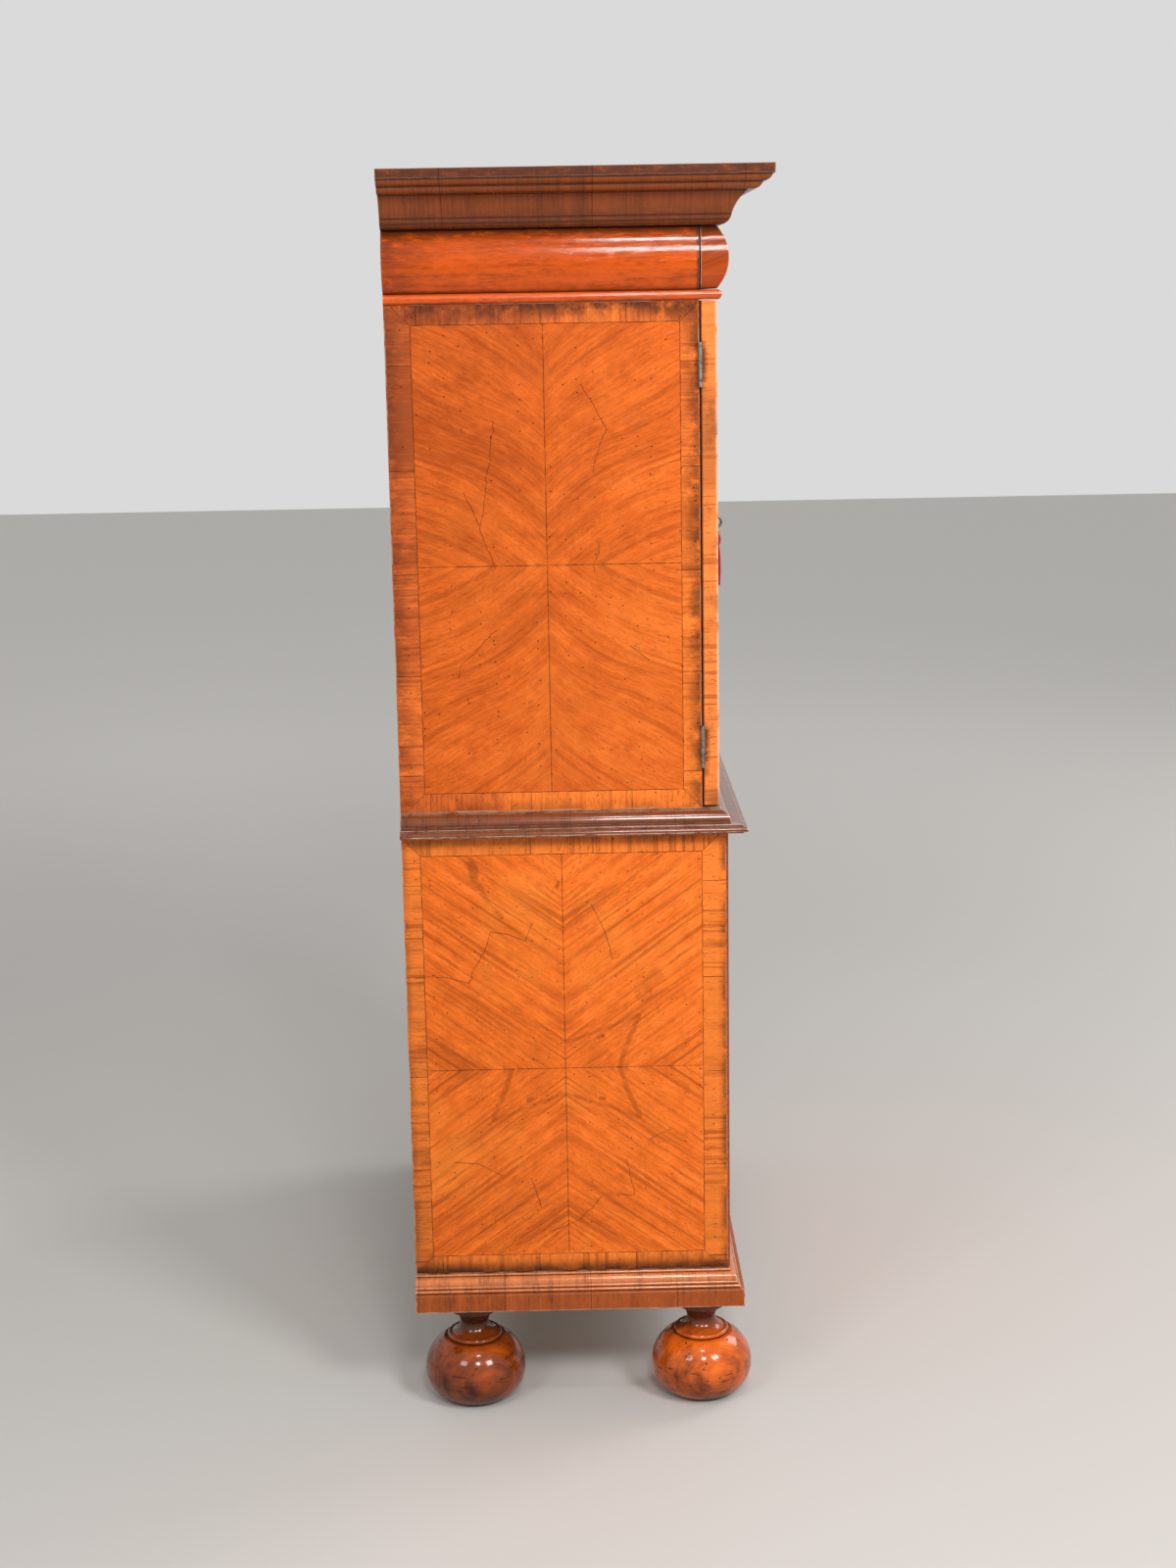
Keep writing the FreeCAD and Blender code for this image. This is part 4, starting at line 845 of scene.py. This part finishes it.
class MOULDINGS_OT_polish(bpy.types.Operator):
    """Finish the cornice, frieze, waist, base and beads"""

    bl_idname = "cabinet.polish_mouldings"
    bl_label = "Polish mouldings"

    def crossed(self, tones):
        """Cornice, waist and base, veneered across their run"""
        mid, dark = tones.moulding_mid, tones.moulding_dark
        low, top = (corner.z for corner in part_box("cornice_front"))
        for part, run, wax in (("front", "x", 0.5), ("returns", "y", 1.0)):
            wear("cornice_" + part, moulded(
                "cornice_wood_" + part, run, 3.0, tint(mid, 1.8), tint(dark, 1.5), piece=0.19,
                gloss=0.10, pale_edge_share=0.25, quirk_share=1.0, shine=0.22, figure=0.75, polish=0.20,
                # Painted shade: darker over the top of the fascia and under the cornice, with dark
                # lines painted at the steps of the profile
                soot_and_shade=(("z", top - 0.016, top - 0.010, 0.80), ("z", low + 0.030, low + 0.012, 0.45)),
                shade_lines=(top - 0.0128, top - 0.0215, top - 0.0308, low + 0.0130, low + 0.0065)))
            wear("waist_" + part, moulded(
                "waist_wood_" + part, run, 5.0, tint(mid, (1.45, 1.45, 1.2)), tint(dark, 0.7),
                piece=0.14, gloss=wax, pale_edge_share=0.95, quirk_share=1.0, shine=0.16, figure=0.9,
                polish=0.14))
            wear("base_" + part, moulded(
                "base_wood_" + part, run, 8.0, tint(mid, 2.6), tint(dark, 2.6), piece=0.12,
                gloss=0.12, pale_edge_share=0.95, quirk_share=0.75, shine=0.12, polish=0.16,
                upper=(BASE_FOOT + BASE_BAND, tones.reed_mid, 0.95 * wax)))

    def swelled(self, cushion):
        """Frieze with its grain along the run, painted shadow of the cornice over its top, darker
        at its foot and ends
        """
        sides_low, sides_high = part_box("frieze_sides")
        low, top, joint = sides_low.z, sides_high.z, sides_low.y
        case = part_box("cabinet_side_right")[1].x
        # Painted shadow of the cornice over the top of the frieze; darker at its foot
        soot_and_shade = (("z", top - 0.045, top - 0.015, 0.28), ("z", top - 0.020, top, 0.80),
                ("z", low + 0.008, low, 0.4))
        side_ends = (("run", 0.17, 0.25, 0.5), ("run", joint + 0.0045, joint + 0.0015, 0.9))
        front_ends = (("run", case - 0.006, case, 0.35), ("run", 0.006 - case, -case, 0.35))
        # Pale edges: painted highlight on the arrises, strongest on the drawer front's ends, with
        # rubbed wood
        for name, run, seed, ends, pale_edge_amount in (("frieze_sides", "y", 13.0, side_ends, 0.3),
                                              ("frieze_drawer_front", "x", 14.0, front_ends, 0.85)):
            wear(name, moulded(
                name + "_wood", run, seed, cushion, tint(cushion, 0.35), cross=False, gloss=0.06,
                pale_edge_share=pale_edge_amount, shine=0.25, figure=0.95, polish=0.09,
                grain_sizes=(0.016, 42.0, 170.0, 90.0), soot_and_shade=soot_and_shade + ends))

    def execute(self, context):
        tones = settings().tones
        cushion = tones.cushion_mid
        self.crossed(tones)
        self.swelled(cushion)
        wear("astragal", moulded("astragal_wood", "y", 15.0, tint(cushion, 1.1), tint(cushion, 0.4),
                                 cross=False, gloss=0.2, shine=0.4))
        wear("opening_beads", moulded("bead_wood", "x", 16.0, tint(cushion, 0.55),
                                      tint(cushion, 0.2), cross=False))
        return {"FINISHED"}


class FEET_OT_polish(bpy.types.Operator):
    """Polish the turned feet"""

    bl_idname = "cabinet.polish_feet"
    bl_label = "Polish feet"

    def execute(self, context):
        mid = settings().tones.foot_mid
        # The back feet take a much darker tone than the front ones
        for index, (end, factor) in enumerate((("front", 1.70), ("back", 0.70))):
            for side in ("left", "right"):
                name = "foot_%s_%s" % (end, side)
                seed = 3.0 + index * 5.0 + len(side)
                wear(name, turned("turned_" + name, seed, tint(mid, factor), *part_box(name)))
        return {"FINISHED"}


class LININGS_OT_finish(bpy.types.Operator):
    """Finish the drawer linings, shelves and carcase boards"""

    bl_idname = "cabinet.finish_linings"
    bl_label = "Finish linings"

    def execute(self, context):
        tones = settings().tones
        wear("shelves", plain_board("oak_along_width", "x", 2.0, tones.oak))
        oak_deep = plain_board("oak_along_depth", "y", 4.0, tones.oak)
        for drawer in ("drawer_low", "drawer_mid", "drawer_left", "drawer_right", "frieze_drawer"):
            wear(drawer + "_box", oak_deep)
        for name, seed, plank in (("chest_back", 6.0, 0.19), ("cabinet_back", 9.0, 0.155)):
            wear(name, plain_board("deal_boards_" + name, "z", seed, tones.deal, plank))
        deal_long = plain_board("deal_along_width", "x", 8.0, tones.deal)
        for name in ("chest_bottom", "chest_top", "drawer_frames", "cabinet_bottom", "cabinet_top",
                     "frieze_floor", "foot_blocks"):
            wear(name, deal_long)
        return {"FINISHED"}


class METALWORK_OT_finish(bpy.types.Operator):
    """Finish the brass, iron and steel"""

    bl_idname = "cabinet.finish_metalwork"
    bl_label = "Finish metalwork"

    def execute(self, context):
        tones = settings().tones
        brass = metal("worn_brass", tones.brass, 1.0, 0.22, 0.42)
        iron = metal("old_iron", tones.iron, 2.0, 0.32, 0.55)
        steel = metal("rubbed_steel", tones.steel, 3.0, 0.28, 0.45)
        for name in NODES:
            if "plates" in name or "_drop" in name or name == "door_escutcheon":
                wear(name, brass)
        for name in ("hinge_leaves_fixed", "hinge_leaves_left", "hinge_leaves_right"):
            wear(name, steel)
        for name in ("bolt_keeps", "bolt_top", "bolt_bottom", "lock_case", "lock_bolt", "key"):
            wear(name, iron)
        return {"FINISHED"}


def tube(bm, points, radius, sides):
    """A thin tube along points, closed at both ends"""
    rings = []
    for index, point in enumerate(points):
        ahead = points[min(index + 1, len(points) - 1)]
        behind = points[max(index - 1, 0)]
        way = (ahead - behind).normalized()
        across = way.orthogonal().normalized()
        other = way.cross(across)
        ring = []
        for step in range(sides):
            turn = 2 * math.pi * step / sides
            out = across * math.cos(turn) + other * math.sin(turn)
            ring.append(bm.verts.new(point + out * radius))
        rings.append(ring)
    for first, second in zip(rings, rings[1:]):
        for step in range(sides):
            following = (step + 1) % sides
            bm.faces.new((first[step], first[following], second[following], second[step]))
    bm.faces.new(list(reversed(rings[0])))
    bm.faces.new(rings[-1])


def around(centre, ring, angle, z):
    return Vector((centre.x + ring * math.cos(angle), centre.y + ring * math.sin(angle), z))


def mesh_piece(name, bm, material, body):
    mesh = bpy.data.meshes.new(name)
    bm.normal_update()
    bm.to_mesh(mesh)
    bm.free()
    for face in mesh.polygons:
        face.use_smooth = True
    mesh.materials.append(material)
    piece = bpy.data.objects.new(name, mesh)
    bpy.context.scene.collection.objects.link(piece)
    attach(piece, body)
    return piece


class TASSEL_OT_make(bpy.types.Operator):
    """Make the silk tassel that hangs from the key"""

    bl_idname = "cabinet.make_tassel"
    bl_label = "Make tassel"

    def skirt(self, draw, sizes, centre, radius, top, foot):
        """Threads that hang from inside the head, each with its own lean and length"""
        bm = bmesh.new()
        steps, sides = 8, 5
        fullness, uneven, most_lean, waver = 0.86, 0.006, 0.35, 0.03
        for _ in range(sizes.threads):
            turn = draw.uniform(0.0, 2 * math.pi)
            reach = radius * fullness * math.sqrt(draw.random())
            end = foot + draw.uniform(0.0, uneven)
            lean = draw.uniform(-most_lean, most_lean)
            points = []
            for step in range(steps + 1):
                down = step / steps
                swell = 0.55 + 0.45 * math.sin(math.pi * min(1.0, 0.25 + down * 0.62))
                ring = reach * swell * (0.62 + 0.38 * down ** 0.5)
                angle = turn + lean * down + draw.uniform(-waver, waver)
                points.append(around(centre, ring, angle, top + (end - top) * down))
            tube(bm, points, sizes.thread, sides)
        return bm

    def wind(self, bm, sizes, centre, radius, low, high):
        """Turns of thread round the head"""
        steps, thread, sides = 24, 0.0009, 6
        for row in range(sizes.turns):
            rise = row / (sizes.turns - 1)
            ring = radius * (0.62 + 0.20 * math.sin(math.pi * rise)) * (1.0 - 0.35 * rise ** 3)
            z = low + (high - low) * rise
            turns = (2 * math.pi * step / steps for step in range(steps + 1))
            tube(bm, [around(centre, ring, turn, z) for turn in turns], thread, sides)

    def fill(self, bm, centre, radius, low, high):
        """A closed core inside the turns"""
        core = bmesh.ops.create_uvsphere(bm, u_segments=24, v_segments=14, radius=1.0)["verts"]
        stretch = Matrix.Diagonal((radius * 0.70, radius * 0.70, (high - low) * 0.5, 1.0))
        place = Matrix.Translation((centre.x, centre.y, (high + low) / 2))
        bmesh.ops.transform(bm, matrix=place @ stretch, verts=core)

    def twist_eye(self, bm, middle, radius):
        """Two strands twisted round each other in a closed ring"""
        steps, twists, offset, thread, sides = 48, 10, 0.0004, 0.0006, 6
        for strand in range(2):
            points = []
            for step in range(steps + 1):
                turn = 2 * math.pi * step / steps
                lay = twists * turn + math.pi * strand
                out = Vector((math.cos(turn), 0.0, math.sin(turn)))
                beside = Vector((0.0, offset * math.sin(lay), 0.0))
                points.append(middle + out * (radius + offset * math.cos(lay)) + beside)
            tube(bm, points, thread, sides)

    def tuft(self, bm, draw, ends, crown):
        """Cut ends that stand out round the crown of the head"""
        thread, sides = 0.00035, 5
        inset, knee, shortest, longest = 0.0015, 0.003, 0.0045, 0.0075
        sag = Vector((0.0, 0.0, 0.0008))
        for _ in range(ends):
            turn = draw.uniform(0.0, 2 * math.pi)
            out = Vector((math.cos(turn), math.sin(turn), draw.uniform(-0.2, 0.5)))
            root = crown + out * inset
            tip = root + out * draw.uniform(shortest, longest) - sag
            tube(bm, [root, root + out * knee, tip], thread, sides)

    def execute(self, context):
        sizes = settings().tassel
        draw = random.Random(sizes.seed)
        low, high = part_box("key_tassel")
        centre = (low + high) / 2
        radius = (high.x - low.x) / 2
        silk = thread_finish("crimson_silk", settings().tones.silk)
        eye_tall, eye_drop, tucked, sunk = 0.0125, 0.007, 0.003, 0.0005
        head_high = high.z - eye_tall
        head_low = head_high - sizes.head
        skirt = self.skirt(draw, sizes, centre, radius, head_low + tucked, low.z)
        skirt_piece = mesh_piece("tassel_skirt", skirt, silk, "key_tassel")
        head = bmesh.new()
        self.wind(head, sizes, centre, radius, head_low, head_high)
        self.twist_eye(head, Vector((centre.x, centre.y, high.z - eye_drop)), sizes.eye)
        self.tuft(head, draw, sizes.tuft, Vector((centre.x, centre.y, head_high - sunk)))
        self.fill(head, centre, radius, head_low, head_high)
        mesh_piece("tassel_head", head, silk, "key_tassel")
        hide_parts("key_tassel")
        return {"FINISHED"}


class STAGE_OT_set(bpy.types.Operator):
    """Set the floor, backdrop, lamps and camera"""

    bl_idname = "cabinet.set_stage"
    bl_label = "Set stage"

    def lamp(self, name, place, aim, power, width, tall):
        data = bpy.data.lights.new(name, "AREA")
        data.shape = "RECTANGLE"
        data.size = width
        data.size_y = tall
        data.energy = power
        thing = bpy.data.objects.new(name, data)
        thing.location = place
        thing.rotation_euler = (Vector(aim) - Vector(place)).to_track_quat("-Z", "Y").to_euler()
        bpy.context.scene.collection.objects.link(thing)

    def camera(self):
        """The photograph's camera, with its focal length in pixels of a frame 1600 tall"""
        focal, frame_tall = 2335.6, 1600.0
        yaw, pitch, roll = -0.0130, 0.2089, -0.0174
        place = (-3.4596, 0.0355, 1.5265)
        ahead = Vector((math.cos(pitch) * math.cos(yaw), math.cos(pitch) * math.sin(yaw),
                        -math.sin(pitch)))
        right = ahead.cross(Vector((0.0, 0.0, 1.0))).normalized()
        up = right.cross(ahead)
        tilted_right = right * math.cos(roll) + up * math.sin(roll)
        tilted_up = up * math.cos(roll) - right * math.sin(roll)
        turn = Matrix((tilted_right, tilted_up, -ahead)).transposed()
        data = bpy.data.cameras.new("view")
        data.sensor_fit = "AUTO"
        data.sensor_width = 36.0
        data.lens = focal / frame_tall * data.sensor_width
        thing = bpy.data.objects.new("view", data)
        thing.matrix_world = Matrix.Translation(place) @ turn.to_4x4()
        bpy.context.scene.collection.objects.link(thing)
        bpy.context.scene.camera = thing

    def floor(self, shade):
        """A painted floor that grows paler away from the cabinet"""
        half, near, far = 14.0, 1.8, 5.0
        bm = bmesh.new()
        bmesh.ops.create_grid(bm, x_segments=1, y_segments=1, size=half)
        mesh = bpy.data.meshes.new("floor")
        bm.to_mesh(mesh)
        bm.free()
        finish = Finish("floor_paint")
        cloud = finish.noise(finish.x * 3.0, finish.y * 3.0, finish.z, 3.0)
        away = (finish.x * finish.x + finish.y * finish.y) ** 0.5
        near_paint = finish.mix(cloud * 0.15, shade, tint(shade, 0.9))
        paint = finish.mix(finish.ease(away, near, far), near_paint, tint(shade, 1.4))
        mesh.materials.append(finish.done(paint, 0.7))
        floor = bpy.data.objects.new("floor", mesh)
        bpy.context.scene.collection.objects.link(floor)

    def world(self, strength, backdrop):
        """Even light, with the backdrop's colour where the camera or a reflection sees it"""
        world = bpy.data.worlds.new("studio")
        world.use_nodes = True
        bpy.context.scene.world = world
        shading = Shading(world.node_tree)
        even = world.node_tree.nodes["Background"]
        shading.feed(even.inputs["Color"], (1.0, 1.0, 1.0))
        shading.feed(even.inputs["Strength"], strength)
        shown = shading.node("ShaderNodeBackground", inputs={"Color": backdrop})
        seen = shading.node("ShaderNodeLightPath", output="Is Camera Ray")
        for ray in ("Is Glossy Ray", "Is Transmission Ray"):
            seen = seen.most(shading.node("ShaderNodeLightPath", output=ray))
        inputs = {0: seen, 1: Value(shading, even.outputs[0]), 2: shown}
        blend = shading.node("ShaderNodeMixShader", inputs=inputs)
        shading.feed(world.node_tree.nodes["World Output"].inputs[0], blend)

    def execute(self, context):
        studio = settings().studio
        bpy.context.scene.view_settings.view_transform = "Standard"
        self.camera()
        self.floor(studio.floor)
        self.world(studio.sky, studio.backdrop)
        for setting, place, aim, width, tall in LAMPS:
            self.lamp(setting + "_lamp", place, aim, getattr(studio, setting), width, tall)
        return {"FINISHED"}


class CABINET_PT_looks(bpy.types.Panel):
    """Cabinet looks"""

    bl_idname = "CABINET_PT_looks"
    bl_label = "Cabinet looks"
    bl_space_type = "VIEW_3D"
    bl_region_type = "UI"
    bl_category = "Cabinet"

    def draw(self, context):
        chosen = context.scene.walnut_cabinet
        for group in (chosen.tones, chosen.veneers, chosen.tassel, chosen.studio):
            for label in group.__annotations__:
                self.layout.prop(group, label)
        for operator in OPERATORS:
            self.layout.operator(operator.bl_idname)


GROUPS = (WalnutTones, VeneerSizes, TasselSizes, StudioLevels, CabinetSettings)
OPERATORS = (STAGE_OT_set, VENEERS_OT_lay, MOULDINGS_OT_polish, FEET_OT_polish, LININGS_OT_finish,
             METALWORK_OT_finish, TASSEL_OT_make)


def register():
    for kind in GROUPS + OPERATORS + (CABINET_PT_looks,):
        bpy.utils.register_class(kind)
    bpy.types.Scene.walnut_cabinet = PointerProperty(type=CabinetSettings)


def unregister():
    del bpy.types.Scene.walnut_cabinet
    for kind in reversed(GROUPS + OPERATORS + (CABINET_PT_looks,)):
        bpy.utils.unregister_class(kind)


def main():
    register()
    bpy.ops.cabinet.set_stage()
    bpy.ops.cabinet.lay_veneers()
    bpy.ops.cabinet.polish_mouldings()
    bpy.ops.cabinet.polish_feet()
    bpy.ops.cabinet.finish_linings()
    bpy.ops.cabinet.finish_metalwork()
    bpy.ops.cabinet.make_tassel()


if __name__ == "__main__":
    main()
